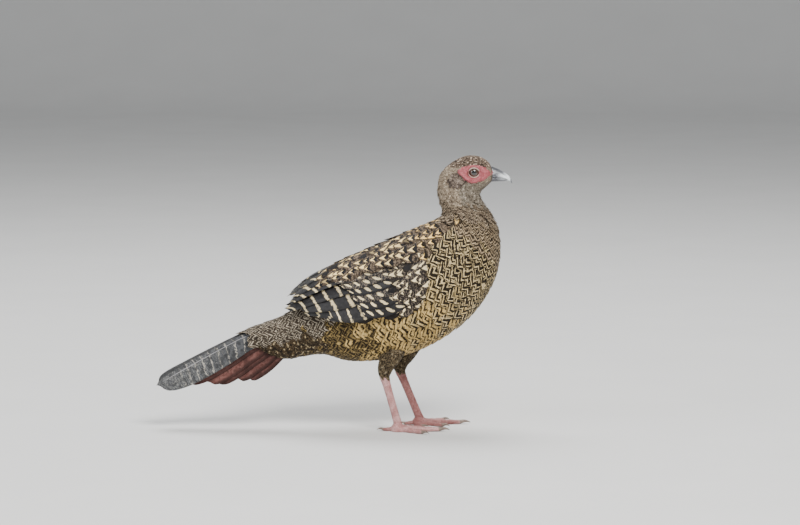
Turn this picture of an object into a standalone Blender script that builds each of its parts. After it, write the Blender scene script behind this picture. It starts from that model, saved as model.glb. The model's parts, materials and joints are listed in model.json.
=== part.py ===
"""A hen pheasant of Taiwan standing alert, life size, as a still model of closed solids.

Sizes are in millimetres and MM turns them into metres. +X is the way the bird faces, +Y its left, +Z up.
The origin lies on the floor under the middle of the bird's box. Body and wings are lofts whose side view is
drawn by a line of back points and a line of belly points. Feathers are thin vanes set in rows on those forms.
"""
import math

import bpy
import bmesh
import numpy as np
from mathutils import Vector
from mathutils.bvhtree import BVHTree

MM = 0.001
GAP = 0.3
SIDES = {"right": -1.0, "left": 1.0}

# Body rings from the tail root to the bill: back point x, z, belly point x, z, half width.
BODY = np.array([
    (-59.2, 130.4, -36.2, 82.8, 22.0),
    (-32.8, 146.5, -9.8, 85.5, 30.0),
    (-4.0, 165.6, 15.5, 78.8, 39.0),
    (24.7, 187.5, 42.0, 78.0, 46.0),
    (51.2, 207.0, 74.2, 82.0, 51.0),
    (74.2, 222.3, 108.7, 94.3, 53.0),
    (93.7, 231.9, 139.7, 112.7, 53.0),
    (108.7, 238.0, 163.9, 134.6, 50.5),
    (117.9, 241.8, 181.1, 159.9, 46.0),
    (123.6, 245.3, 190.3, 182.9, 40.5),
    (125.9, 249.3, 193.2, 205.9, 35.0),
    (125.9, 254.2, 191.5, 226.6, 29.5),
    (124.2, 259.9, 184.6, 244.4, 24.5),
    (122.8, 266.2, 174.8, 257.6, 20.8),
    (121.7, 273.1, 169.4, 268.0, 18.6),
    (121.7, 281.8, 169.6, 273.1, 17.3),
    (123.6, 292.1, 173.1, 277.2, 16.6),
    (130.5, 301.9, 178.3, 281.2, 15.6),
    (140.9, 309.9, 181.1, 283.5, 14.4),
    (153.5, 315.1, 182.9, 284.6, 13.2),
    (166.8, 314.8, 184.0, 285.2, 11.7),
    (176.5, 310.2, 184.6, 285.5, 9.6),
    (183.4, 302.5, 185.2, 285.8, 7.0),
])
TAIL_CUT, NECK_CUT, HEAD_CUT, BILL_CUT = 0.0, 10.6, 14.5, 22.0
BODY_SIDES = 26

# Shell that the folded wings lie on, from the bend of the wing to the tips: x, top z, bottom z, half width.
WING = np.array([
    (122.5, 243.2, 101.2, 51.5),
    (99.5, 234.6, 90.9, 57.5),
    (76.5, 225.4, 81.7, 61.0),
    (42.0, 211.0, 78.2, 62.0),
    (19.0, 201.3, 78.2, 59.5),
    (-4.0, 189.8, 82.8, 53.5),
    (-27.0, 174.8, 90.9, 44.0),
    (-52.3, 152.0, 104.7, 28.0),
])
# How far the wing's lower edge swings down at x, in radians.
WING_SWING = ((-45.0, 20.0, 78.0, 115.0), (-0.19, 0.0, 0.10, 0.18))
ARM_FRONT, ARM_REAR = 118.0, 10.0
ARM_TOP, ARM_BOTTOM = math.radians(33), math.radians(100)
ARM_DEPTH = 10.0
# How far the arm sinks towards its upper and lower edge, its front and its rear.
ARM_SINK = (5.5, 2.8, 7.2)
VANE_THICK = 0.7

# Rows of wing feathers, lowest first in each row: count, angle round the shell of the first and last,
# root x, tip x of the first, middle and last, width, depth under the shell at x 80 and at x -50, cross tilt.
WING_ROWS = [
    ("primaries", 4, (93, 85), (34, 34), (-12, -24, -36), 17, (-9.8, -7.6), 1.0),
    ("secondaries", 7, (88, 46), (62, 56), (2, -38, -52), 26, (-6.8, -4.2), 1.8),
    ("tertials", 4, (42, 18), (58, 46), (-48, -43, -34), 21, (-4.0, -1.7), 1.2),
    ("greater_coverts", 6, (88, 45), (84, 70), (36, 18, -4), 20, (-4.4, 1.7), 1.2),
    ("median_coverts", 5, (83, 47), (100, 88), (70, 58, 40), 19, (-2.2, 4.6), 1.0),
]

# Tail: root, slope below level at the root and how much it steepens along its length, the round of the roof and
# its steepest slope, the ridge's height over the axis at two distances, then for each feather of a side from the
# middle out: length, and how far down the roof its shaft lies at root and tip. The webs say how far from the
# shaft the lines of a vane lie, for the middle pair, the next pair and the others.
TAIL_ROOT = (-32.8, 128.4)
TAIL_SLOPE, TAIL_DROOP = math.radians(25.0), math.radians(1.5)
TAIL_ROUND, TAIL_STEEP = 15.0, math.radians(80)
TAIL_RIDGE = ((30.0, 75.0), (10.5, 15.5))
TAIL_FEATHERS = [
    (187.4, 10.0, 14.0),
    (174, 13.0, 20.0),
    (155, 16.0, 28.0),
    (134, 19.5, 37.5),
    (126, 23.0, 42.0),
    (103, 26.5, 48.0),
    (92, 30.0, 52.5),
]
TAIL_WEBS = [(-15.5, -10.0, -5.0, 0.0, 11.0, 21.0), (-11.0, -5.5, 0.0, 7.5, 15.0), (-10.0, 0.0, 7.0, 14.0)]
TAIL_START = 34.0
TAIL_LAYER = 1.4
# Rings of the coverts over the tail's root, as in the body.
TAIL_COVERTS = np.array([
    BODY[0],
    (-69.0, 126.4, -47.0, 80.2, 22.6),
    (-79.0, 122.8, -60.5, 81.0, 22.0),
    (-88.0, 119.6, -73.5, 84.5, 20.5),
    (-95.0, 116.8, -84.5, 89.5, 17.5),
])

# Legs: heel and sole points of each leg, seen from the side, and distance from the middle.
LEGS = {"right": ((58.1, 69.0), (77.6, 0.0)), "left": ((75.4, 67.9), (103.5, 0.0))}
LEG_Y = 27.0
SHANK_FORE, SHANK_SIDE, SCUTES = 4.5, 3.5, 11
ANKLE_HEIGHT = 8.5
# Pad under the ankle: height, centre ahead of the ankle, half length, half width, from the top down.
PAD_RINGS = [(8.2, 0.0, 5.6, 4.6), (6.4, 1.4, 8.2, 7.0), (4.0, 2.5, 10.4, 9.2), (1.2, 2.5, 10.6, 9.4), (0.0, 2.5, 9.6, 8.6)]
# Toes: distance of the root and of the end from the ankle, turn outwards in degrees, half width.
TOES = {
    "middle": (10.8, 48.0, 3.0, 3.5),
    "inner": (10.8, 34.0, -37.0, 3.1),
    "outer": (10.8, 37.0, 41.0, 3.1),
    "hind": (6.6, 17.0, 188.0, 2.5),
}
TOE_ROOT_HEIGHT = 3.0
CLAW_LENGTH = {"middle": 11.5, "inner": 10.0, "outer": 10.0, "hind": 7.5}

# Bill: distance along x from its base, top z, cutting edge z, half width of the upper half.
BILL_BASE = 185.6
UPPER_BILL = [
    (0.0, 301.8, 290.5, 6.3),
    (5.0, 299.6, 290.6, 5.6),
    (9.5, 297.2, 290.2, 4.8),
    (14.0, 294.2, 288.9, 3.8),
    (17.4, 291.2, 286.7, 2.7),
    (19.6, 287.9, 284.5, 1.5),
    (20.8, 284.7, 283.0, 0.6),
]
LOWER_BILL = [
    (0.0, 290.1, 285.3, 5.6),
    (5.0, 290.1, 285.6, 4.9),
    (9.5, 289.7, 285.7, 4.0),
    (13.0, 288.5, 285.7, 2.9),
    (15.8, 286.7, 285.7, 1.5),
]
NOSTRIL = (4.6, 294.6)

EYE_X, EYE_Z, EYE_Y, EYE_R = 162.2, 296.7, 8.3, 6.8
LID_OPENING = 5.6
FACE_REACH = {"back": 17.5, "front": 20.0, "up": 8.5, "down": 12.0}
FACE_RINGS, FACE_SPOKES = 4, 20


def spline(table, at):
    """Catmull-Rom curve through the rows of a table, read at row numbers that need not be whole."""
    table = np.asarray(table, float)
    at = np.clip(np.asarray(at, float), 0, len(table) - 1)
    padded = np.vstack([2 * table[0] - table[1], table, 2 * table[-1] - table[-2]])
    k = np.minimum(at.astype(int), len(table) - 2)
    f = (at - k)[..., None]
    a, b, c, d = (padded[k + n] for n in range(4))
    return 0.5 * (2 * b + (c - a) * f + (2 * a - 5 * b + 4 * c - d) * f**2 + (3 * b - a - 3 * c + d) * f**3)


def new_material(name, colour, roughness, metallic=0.0):
    made = bpy.data.materials.new(name)
    made.use_nodes = True
    shader = made.node_tree.nodes["Principled BSDF"]
    shader.inputs["Base Color"].default_value = (*colour, 1.0)
    shader.inputs["Roughness"].default_value = roughness
    shader.inputs["Metallic"].default_value = metallic
    made.diffuse_color = (*colour, 1.0)
    return made


def new_object(name, points, faces, material=None):
    """A mesh object from points in millimetres, with its faces turned outwards."""
    mesh = bpy.data.meshes.new(name)
    mesh.from_pydata((np.asarray(points, float) * MM).tolist(), [], faces)
    work = bmesh.new()
    work.from_mesh(mesh)
    bmesh.ops.recalc_face_normals(work, faces=work.faces)
    work.to_mesh(mesh)
    work.free()
    made = bpy.data.objects.new(name, mesh)
    bpy.context.scene.collection.objects.link(made)
    if material:
        mesh.materials.append(material)
        mesh.shade_smooth()
        mesh.set_sharp_from_angle(angle=math.radians(35))
    return made


def skin_rings(rings):
    """Points and faces of a closed tube through rings of equal length, with a flat cap at each end."""
    rings = np.asarray(rings, float)
    count, around = rings.shape[:2]
    faces = []
    for i in range(count - 1):
        for j in range(around):
            a, b = i * around + j, i * around + (j + 1) % around
            faces.append((a, b, b + around, a + around))
    faces.append(tuple(range(around)))
    faces.append(tuple(range((count - 1) * around, count * around)))
    return rings.reshape(-1, 3), faces


def apply_boolean(target, others, operation, solver="EXACT"):
    """Joins or cuts target with a collection of closed meshes, applies it and removes the others."""
    group = bpy.data.collections.new("operands")
    for other in others:
        bpy.context.scene.collection.objects.unlink(other)
        group.objects.link(other)
    bpy.context.scene.collection.children.link(group)
    modifier = target.modifiers.new("join", "BOOLEAN")
    modifier.operation = operation
    modifier.operand_type = "COLLECTION"
    modifier.collection = group
    modifier.solver = solver
    bpy.context.view_layer.update()
    graph = bpy.context.evaluated_depsgraph_get()
    result = bpy.data.meshes.new_from_object(target.evaluated_get(graph))
    target.modifiers.clear()
    target.data = result
    for other in list(group.objects):
        bpy.data.objects.remove(other)
    bpy.data.collections.remove(group)
    keep_largest(target)


def keep_largest(target):
    """Keeps only the largest closed surface of a mesh, in plain triangles."""
    work = bmesh.new()
    work.from_mesh(target.data)
    bmesh.ops.triangulate(work, faces=work.faces)
    left, islands = set(work.verts), []
    while left:
        stack = [left.pop()]
        island = set(stack)
        while stack:
            for edge in stack.pop().link_edges:
                for vertex in edge.verts:
                    if vertex in left:
                        left.discard(vertex)
                        island.add(vertex)
                        stack.append(vertex)
        islands.append(island)

    def spread(island):
        points = np.array([v.co for v in island])
        return float(np.prod(np.ptp(points, axis=0) + MM))

    largest = max(islands, key=spread)
    bmesh.ops.delete(work, geom=[v for v in work.verts if v not in largest], context="VERTS")
    work.to_mesh(target.data)
    work.free()


def body_ring(at, count=BODY_SIDES, grow=0.0):
    """A ring of the body at a row number: an oval from the back point to the belly point, a little squared."""
    x_top, z_top, x_low, z_low, half = spline(BODY, at)
    middle = np.array([(x_top + x_low) / 2, 0, (z_top + z_low) / 2])
    up = np.array([(x_top - x_low) / 2, 0, (z_top - z_low) / 2])
    up *= 1 + grow / np.linalg.norm(up)
    turn = np.linspace(0, 2 * math.pi, count, endpoint=False)
    side = np.sign(np.sin(turn)) * np.abs(np.sin(turn)) ** 0.9
    return middle + np.cos(turn)[:, None] * up + side[:, None] * np.array([0, half + grow, 0])


def body_length(name, start, end, rings, material, start_gap=True, end_gap=True):
    """A length of the body between two flat cuts, drawn back by half the gap at each cut that meets another."""
    lines = [body_ring(at) for at in np.linspace(start, end, rings)]
    for index, inner, wanted in ((0, 1, start_gap), (-1, -2, end_gap)):
        if wanted:
            way = lines[inner].mean(0) - lines[index].mean(0)
            normal = np.cross(lines[index][0] - lines[index].mean(0), (0, 1, 0))
            normal *= np.sign(normal @ way) / np.linalg.norm(normal)
            lines[index] = lines[index] + normal * GAP / 2
    return new_object(name, *skin_rings(lines), material)


def wing_shell(x, turn, depth):
    """Points at x and angle from the top of the wing shell, at a depth outside it, for the left wing, and the
    outward normals. The shell is an oval in each upright slice."""
    at = np.interp(-np.asarray(x, float), -WING[:, 0], np.arange(len(WING)))
    x, turn, depth = np.broadcast_arrays(x, turn, depth)
    _, top, low, half = np.moveaxis(spline(WING, at), -1, 0)
    high = (top - low) / 2
    turn = turn + np.interp(x, *WING_SWING) * (turn / 1.75) ** 2
    normal = np.stack([0 * x, high * np.sin(turn), half * np.cos(turn)], -1)
    normal /= np.linalg.norm(normal, axis=-1, keepdims=True)
    point = np.stack([x, half * np.sin(turn), (top + low) / 2 + high * np.cos(turn)], -1)
    return point + normal * depth[..., None], normal


def turn_per_mm(x, turn):
    """How much angle one millimetre across the wing shell takes."""
    at = np.interp(-np.asarray(x, float), -WING[:, 0], np.arange(len(WING)))
    _, top, low, half = np.moveaxis(spline(WING, at), -1, 0)
    return 1 / np.hypot(half * np.cos(turn), (top - low) / 2 * np.sin(turn))


def plate(outer, inner):
    """Points and triangles of a thin closed plate from two grids of points, split alike on both faces."""
    rows, columns = outer.shape[:2]
    faces = []

    def quad(a, b, c, d):
        faces.extend([(a, b, c), (a, c, d)])

    other = rows * columns
    for i in range(rows - 1):
        for j in range(columns - 1):
            a = i * columns + j
            quad(a, a + 1, a + columns + 1, a + columns)
            quad(other + a, other + a + columns, other + a + columns + 1, other + a + 1)
            faces[-2:] = [(other + a, other + a + columns + 1, other + a + 1),
                          (other + a, other + a + columns, other + a + columns + 1)]
    rim = [j for j in range(columns)]
    rim += [i * columns + columns - 1 for i in range(1, rows)]
    rim += [(rows - 1) * columns + j for j in range(columns - 2, -1, -1)]
    rim += [i * columns for i in range(rows - 2, 0, -1)]
    for a, b in zip(rim, rim[1:] + rim[:1]):
        quad(b, a, other + a, other + b)
    return np.concatenate([outer.reshape(-1, 3), inner.reshape(-1, 3)]), faces


VANE_ALONG = np.array([0.0, 0.36, 0.76, 0.94, 1.0])
VANE_WIDTH = np.array([0.5, 0.93, 0.97, 0.68, 0.26])


def wing_vane(side, centre, root, tip, width, depths, tilt):
    """One flight feather or covert: a strip along the shell whose lower edge stands out and upper edge tucks in."""
    x = root + (tip - root) * VANE_ALONG
    depth = np.interp(-x, (-80.0, 50.0), depths)
    across = np.array([-1.0, 0.0, 1.0])
    spread = VANE_WIDTH[:, None] * across * width / 2
    turn = centre + spread * turn_per_mm(x, centre)[:, None]
    lean = 0.15 * width * (1 - VANE_WIDTH[:, None] ** 2) * across
    outer, normal = wing_shell(x[:, None] + lean, turn, depth[:, None] + tilt * VANE_WIDTH[:, None] * across)
    inner = outer - normal * VANE_THICK
    outer[..., 1] *= side
    inner[..., 1] *= side
    return new_object("vane", *plate(outer, inner))


def wing_arm(side, grow=0.0):
    """The folded arm of the wing with its small feathers: a shallow shell that thins to its edges and rear."""
    steps, turns = 9, 8
    along = np.linspace(0, 1, steps)[:, None]
    round_ = np.linspace(0, 1, turns)[None, :]
    x = ARM_FRONT + grow - (ARM_FRONT - ARM_REAR + 2 * grow) * along + 0 * round_
    turn = ARM_TOP + (ARM_BOTTOM - ARM_TOP) * round_ + 0 * along
    turn = turn + (2 * round_ - 1) * grow * turn_per_mm(x, turn)
    rise = 1 - np.abs(2 * round_ - 1) ** 3
    taper = (3 - 2 * along) * along**2
    depth = -ARM_SINK[0] * (1 - rise) - ARM_SINK[1] * (1 - along) ** 5 - ARM_SINK[2] * taper
    outer, _ = wing_shell(x, turn, depth + grow)
    inner, _ = wing_shell(x, turn, -ARM_DEPTH - 2.0 * taper - grow)
    outer[..., 1] *= side
    inner[..., 1] *= side
    return new_object("arm", *plate(outer, inner))


def make_wing(name, side, material):
    pieces = []
    for _, count, turns, roots, tips, width, depths, tilt in WING_ROWS:
        for k in range(count):
            share = k / (count - 1)
            centre = math.radians(turns[0] + (turns[1] - turns[0]) * share)
            root = roots[0] + (roots[1] - roots[0]) * share
            tip = float(np.interp(share, (0, 0.5, 1), tips))
            pieces.append(wing_vane(side, centre, root, tip, width, depths, tilt))
    wing = wing_arm(side)
    wing.name = name
    apply_boolean(wing, pieces, "UNION", "MANIFOLD")
    finish(wing, material)
    return wing


def finish(made, material):
    made.data.materials.clear()
    made.data.materials.append(material)
    made.data.shade_smooth()
    made.data.set_sharp_from_angle(angle=math.radians(35))


def tail_point(side, along, down, layer):
    """A point of the tail's roof at a distance along its drooping axis and a distance down its slope from the
    ridge, where a negative one lies over on the other half. The roof is round at the ridge and steep below,
    and each layer lies further in."""
    slope = TAIL_SLOPE + TAIL_DROOP * along / 190
    radius = TAIL_ROUND * (1 - 0.45 * along / 190) + 0 * down
    bend = np.clip(down / radius, -TAIL_STEEP, TAIL_STEEP)
    rest = down - bend * radius
    inward = layer * TAIL_LAYER
    out = (radius - inward) * np.sin(bend) + rest * math.cos(TAIL_STEEP)
    drop = radius - (radius - inward) * np.cos(bend) + np.abs(rest) * math.sin(TAIL_STEEP)
    height = np.interp(along, *TAIL_RIDGE) - drop
    x = TAIL_ROOT[0] - along * np.cos(slope) - height * np.sin(slope)
    z = TAIL_ROOT[1] - along * np.sin(slope) + height * np.cos(slope)
    return np.stack(np.broadcast_arrays(x, side * out, z), -1)


def tail_vane(side, index):
    """One tail feather: a strip down the roof, its inner web narrower than its outer one."""
    length, root, tip = TAIL_FEATHERS[index]
    along = TAIL_START + (length - TAIL_START) * VANE_ALONG
    shaft = root + (tip - root) * along / length
    web = np.array(TAIL_WEBS[min(index, 2)])
    down = shaft[:, None] + VANE_WIDTH[:, None] * web
    lean = 5.0 * (1 - np.abs(web) / np.abs(web).max() * 1.8) * (1 - VANE_WIDTH[:, None])
    layer = index + (0.3 if side > 0 and index == 0 else 0.0)
    outer = tail_point(side, along[:, None] + lean, down, layer)
    inner = tail_point(side, along[:, None] + lean, down, layer + VANE_THICK / TAIL_LAYER)
    return new_object("vane", *plate(outer, inner))


def make_tail(material):
    """The coverts as one tapering form, with the fourteen tail feathers rooted in it."""
    lines = []
    for at in np.linspace(0, len(TAIL_COVERTS) - 1, 9):
        x_top, z_top, x_low, z_low, half = spline(TAIL_COVERTS, at)
        middle = np.array([(x_top + x_low) / 2, 0, (z_top + z_low) / 2])
        up = np.array([(x_top - x_low) / 2, 0, (z_top - z_low) / 2])
        turn = np.linspace(0, 2 * math.pi, 20, endpoint=False) + 0.03
        lines.append(middle + np.cos(turn)[:, None] * up + np.sin(turn)[:, None] * np.array([0, half, 0]))
    way = lines[1].mean(0) - lines[0].mean(0)
    normal = np.cross(lines[0][0] - lines[0].mean(0), (0, 1, 0))
    lines[0] = lines[0] + normal * np.sign(normal @ way) / np.linalg.norm(normal) * GAP / 2
    tail = new_object("tail", *skin_rings(lines))
    vanes = [tail_vane(side, k) for side in SIDES.values() for k in range(len(TAIL_FEATHERS))]
    apply_boolean(tail, vanes, "UNION", "MANIFOLD")
    finish(tail, material)
    return tail


def tube(line, fore, side, around, low=None, start_way=None, end_way=None):
    """Rings square to a line of points, with a half thickness in the upright plane and one sideways. start_way
    and end_way turn the first and last ring, and low flattens everything under that height."""
    line, fore, side = np.asarray(line, float), np.asarray(fore, float), np.asarray(side, float)
    way = np.gradient(line, axis=0)
    if start_way is not None:
        way[0] = start_way
    if end_way is not None:
        way[-1] = end_way
    way /= np.linalg.norm(way, axis=1, keepdims=True)
    across = np.cross(way, (0, 0, 1))
    steep = np.linalg.norm(across, axis=1, keepdims=True) < 0.6
    across = np.where(steep, (0, 1, 0), across)
    across /= np.linalg.norm(across, axis=1, keepdims=True)
    third = np.cross(across, way)
    turn = np.linspace(0, 2 * math.pi, around, endpoint=False)
    rings = (
        line[:, None]
        + np.cos(turn)[None, :, None] * third[:, None] * fore[:, None, None]
        + np.sin(turn)[None, :, None] * across[:, None] * side[:, None, None]
    )
    if low is not None:
        rings[..., 2] = np.maximum(rings[..., 2], low)
    return rings


def leg_point(which, share):
    """A point on the shank's line: share 0 at the heel and 1 at the sole."""
    (heel_x, heel_z), (sole_x, sole_z) = LEGS[which]
    y = SIDES[which] * LEG_Y
    return np.array([heel_x + (sole_x - heel_x) * share, y, heel_z + (sole_z - heel_z) * share])


def leg_way(which):
    """The direction down the shank."""
    way = leg_point(which, 1.0) - leg_point(which, 0.0)
    return way / np.linalg.norm(way)


def toe_way(which, turn):
    """The direction of a toe turned outwards from straight ahead."""
    angle = math.radians(turn) * SIDES[which]
    return np.array([math.cos(angle), math.sin(angle), 0])


def thigh_rings(which, grow=0.0):
    """The feathered leg from inside the flank down over the heel, wide above and ragged to a point below."""
    heel = leg_point(which, 0.0)
    inward = -SIDES[which]
    line = np.array([heel + (19, 8 * inward, 42), heel + (12.5, 7 * inward, 27), heel + (7, 4 * inward, 14),
                     heel + (3, inward, 5), leg_point(which, 0.1)])
    smooth = spline(line, np.linspace(0, 4, 8))
    fore = spline(np.array([(14, 11), (13, 11), (10.5, 9), (8, 7), (5.9, 4.9)]), np.linspace(0, 4, 8))
    return tube(smooth, fore[:, 0] + grow, fore[:, 1] + grow, 14, end_way=leg_way(which))


def make_leg(which, skin, claw_skin):
    """Shank with raised plates down its front, four toes with flat soles, and a claw on each."""
    start, end = 0.1, 1 - ANKLE_HEIGHT / LEGS[which][0][1]
    ankle_way = np.array([0, 0, -1.0])
    first = leg_point(which, start)
    line, fore, side = [], [], []
    for k in range(SCUTES):
        for part, swell in ((0.06, 0.35), (0.94, -0.25)):
            share = (k + part) / SCUTES
            ends = 1.3 * math.exp(-share * 9) + 0.9 * math.exp(-(1 - share) * 9)
            line.append(leg_point(which, start + (end - start) * share))
            fore.append(SHANK_FORE + ends + swell)
            side.append(SHANK_SIDE + ends + swell * 0.4)
    line[0] = first + leg_way(which) * GAP
    rings = tube(line, fore, side, 10, start_way=leg_way(which), end_way=ankle_way)
    shank = new_object(f"shank_{which}", *skin_rings(rings), skin)
    made = [shank]
    foot = leg_point(which, 1 - ANKLE_HEIGHT / LEGS[which][0][1])
    ankle = np.array([foot[0], foot[1], 0])
    pad = []
    turns = np.linspace(0, 2 * math.pi, 28, endpoint=False)
    for height, ahead, half_long, half_wide in PAD_RINGS:
        ring = np.stack([ahead + half_long * np.cos(turns), half_wide * np.sin(turns), 0 * turns + height], 1)
        for root, _, turn, _ in TOES.values():
            way = toe_way(which, turn)
            ring = ring - way * np.maximum(ring @ way - (root - GAP), 0)[:, None]
        pad.append(ring + ankle)
    made.append(new_object(f"foot_{which}", *skin_rings(pad), skin))
    for toe, (root, length, turn, half) in TOES.items():
        way = toe_way(which, turn)
        share = np.linspace(0, 1, 9)
        centre = ankle + way * (root + (length - root) * share)[:, None]
        centre[:, 2] = TOE_ROOT_HEIGHT + (half * 0.8 - TOE_ROOT_HEIGHT) * np.minimum(share * 2.2, 1)
        pads = 1 + 0.07 * np.cos(share * 2 * math.pi * (3 if toe != "hind" else 2))
        size = half * (1 - 0.3 * share) * pads
        rings = tube(centre, size * np.linspace(1.1, 0.95, 9), size, 8, low=0.0, start_way=way, end_way=way)
        made.append(new_object(f"toe_{toe}_{which}", *skin_rings(rings), skin))
        tip = centre[-1] + way * GAP
        bend = np.linspace(0, 1, 6)
        claw = CLAW_LENGTH[toe]
        line = tip + way * (claw * bend)[:, None]
        line[:, 2] += 1.6 * np.sin(bend * 2.2) - 1.9 * bend**2
        thick = half * 0.62 * (1 - 0.86 * bend)
        rings = tube(line, thick * 1.15, thick, 8, low=0.0, start_way=way)
        made.append(new_object(f"claw_{toe}_{which}", *skin_rings(rings), claw_skin))
    return made


def bill_rings(rows, upper):
    """Rings across the bill: a rounded roof over a flat edge for the upper half, a keel for the lower."""
    rings = []
    for along, high, low, half in rows:
        turn = np.linspace(-math.pi / 2, math.pi / 2, 9)
        y = half * np.sin(turn)
        arch = np.cos(turn) ** 0.8
        z = low + (high - low) * arch if upper else high - (high - low) * arch
        rings.append(np.stack([np.full(9, BILL_BASE + along), y, z], 1))
    return rings


def ellipsoid(centre, radii, name="cutter"):
    work = bmesh.new()
    bmesh.ops.create_uvsphere(work, u_segments=16, v_segments=10, radius=1.0)
    points = np.array([v.co for v in work.verts]) * radii + centre
    faces = [tuple(v.index for v in f.verts) for f in work.faces]
    work.free()
    return new_object(name, points, faces)


def box(low, high):
    """A closed box between two corners."""
    corners = [(x, y, z) for x in (low[0], high[0]) for y in (low[1], high[1]) for z in (low[2], high[2])]
    faces = [(0, 1, 3, 2), (4, 6, 7, 5), (0, 4, 5, 1), (2, 3, 7, 6), (0, 2, 6, 4), (1, 5, 7, 3)]
    return new_object("cutter", corners, faces)


def make_head(material):
    """Head with a socket for each eye and the mouth's line running back from the bill."""
    head = body_length("head", HEAD_CUT, BILL_CUT, 13, material)
    sockets = [ellipsoid((EYE_X, s * EYE_Y, EYE_Z), (EYE_R + GAP,) * 3) for s in SIDES.values()]
    mouth = box((BILL_BASE - 9.0, -30, 290.0), (BILL_BASE + 5, 30, 290.7))
    apply_boolean(head, [*sockets, mouth], "DIFFERENCE")
    finish(head, material)
    return head


def make_face(name, side, whole_head, material):
    """Bare skin round the eye with its raised lid: rings from the lid's opening to the edge of the patch."""
    rays = BVHTree.FromObject(whole_head, bpy.context.evaluated_depsgraph_get())
    turn = np.linspace(0, 2 * math.pi, FACE_SPOKES, endpoint=False)
    ahead = np.where(np.cos(turn) > 0, FACE_REACH["front"], FACE_REACH["back"])
    tall = np.where(np.sin(turn) > 0, FACE_REACH["up"], FACE_REACH["down"])
    outer_x, outer_z = ahead * np.cos(turn), tall * np.sin(turn)
    backs, fronts = [], []
    for ring in range(FACE_RINGS):
        share = (ring / (FACE_RINGS - 1)) ** 1.3
        x = EYE_X + LID_OPENING * np.cos(turn) * (1 - share) + outer_x * share
        z = EYE_Z + LID_OPENING * 0.92 * np.sin(turn) * (1 - share) + outer_z * share
        reach = np.hypot(x - EYE_X, z - EYE_Z)
        ball = EYE_Y + np.sqrt(np.maximum((EYE_R + 0.5) ** 2 - reach**2, 0))
        back = []
        for px, pz, pb in zip(x, z, ball):
            hit = rays.ray_cast(Vector((px, side * 60, pz)) * MM, Vector((0, -side, 0)))[0]
            back.append(max(abs(hit.y) / MM + 0.95, pb))
        back = np.array(back)
        thick = 1.1 if ring == 0 else 0.75
        backs.append(np.stack([x, side * back, z], 1))
        fronts.append(np.stack([x, side * (back + thick), z], 1))
    around = FACE_SPOKES
    points = np.concatenate(fronts + backs)
    faces, other = [], FACE_RINGS * around
    for i in range(FACE_RINGS - 1):
        for j in range(around):
            a, b = i * around + j, i * around + (j + 1) % around
            c, d = b + around, a + around
            faces += [(a, b, c), (a, c, d), (other + a, other + c, other + b), (other + a, other + d, other + c)]
    for j in range(around):
        a, b = j, (j + 1) % around
        faces += [(a, other + a, other + b), (a, other + b, b)]
        a, b = other - around + a, other - around + b
        faces += [(a, b, other + b), (a, other + b, other + a)]
    return new_object(name, points, faces, material)


def main():
    for old in list(bpy.data.objects):
        bpy.data.objects.remove(old)
    plumage = new_material("plumage", (0.29, 0.22, 0.13), 0.8)
    neck_skin = new_material("neck_plumage", (0.30, 0.25, 0.19), 0.8)
    wing_skin = new_material("wing_plumage", (0.09, 0.08, 0.07), 0.6)
    tail_skin = new_material("tail_plumage", (0.12, 0.09, 0.08), 0.6)
    red_skin = new_material("bare_skin", (0.55, 0.06, 0.07), 0.5)
    leg_skin = new_material("leg_scales", (0.42, 0.10, 0.10), 0.45)
    horn = new_material("horn", (0.42, 0.42, 0.44), 0.35)
    claw_skin = new_material("claw", (0.20, 0.15, 0.13), 0.4)
    eye_skin = new_material("eye", (0.03, 0.015, 0.01), 0.05)

    torso = body_length("torso", TAIL_CUT, NECK_CUT, 16, plumage)
    body_length("neck", NECK_CUT, HEAD_CUT, 8, neck_skin)
    whole_head = body_length("whole_head", HEAD_CUT, BILL_CUT, 16, neck_skin)
    bpy.context.view_layer.update()
    for which, side in SIDES.items():
        make_face(f"face_{which}", side, whole_head, red_skin)
        eye = ellipsoid((EYE_X, side * EYE_Y, EYE_Z), (EYE_R,) * 3, f"eye_{which}")
        finish(eye, eye_skin)
    bpy.data.objects.remove(whole_head)
    make_head(neck_skin)

    upper = new_object("bill_upper", *skin_rings(bill_rings(UPPER_BILL, True)), horn)
    holes = [ellipsoid((BILL_BASE + NOSTRIL[0], s * 5.4, NOSTRIL[1]), (2.0, 1.1, 0.7)) for s in SIDES.values()]
    apply_boolean(upper, holes, "DIFFERENCE")
    finish(upper, horn)
    new_object("bill_lower", *skin_rings(bill_rings(LOWER_BILL, False)), horn)

    cutters = []
    for which, side in SIDES.items():
        make_wing(f"wing_{which}", side, wing_skin)
        cutters.append(wing_arm(side, GAP))
        new_object(f"thigh_{which}", *skin_rings(thigh_rings(which)), plumage)
        cutters.append(new_object("cutter", *skin_rings(thigh_rings(which, GAP))))
        make_leg(which, leg_skin, claw_skin)
    apply_boolean(torso, cutters, "DIFFERENCE")
    finish(torso, plumage)
    make_tail(tail_skin)


main()
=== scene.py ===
import json
import math

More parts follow.
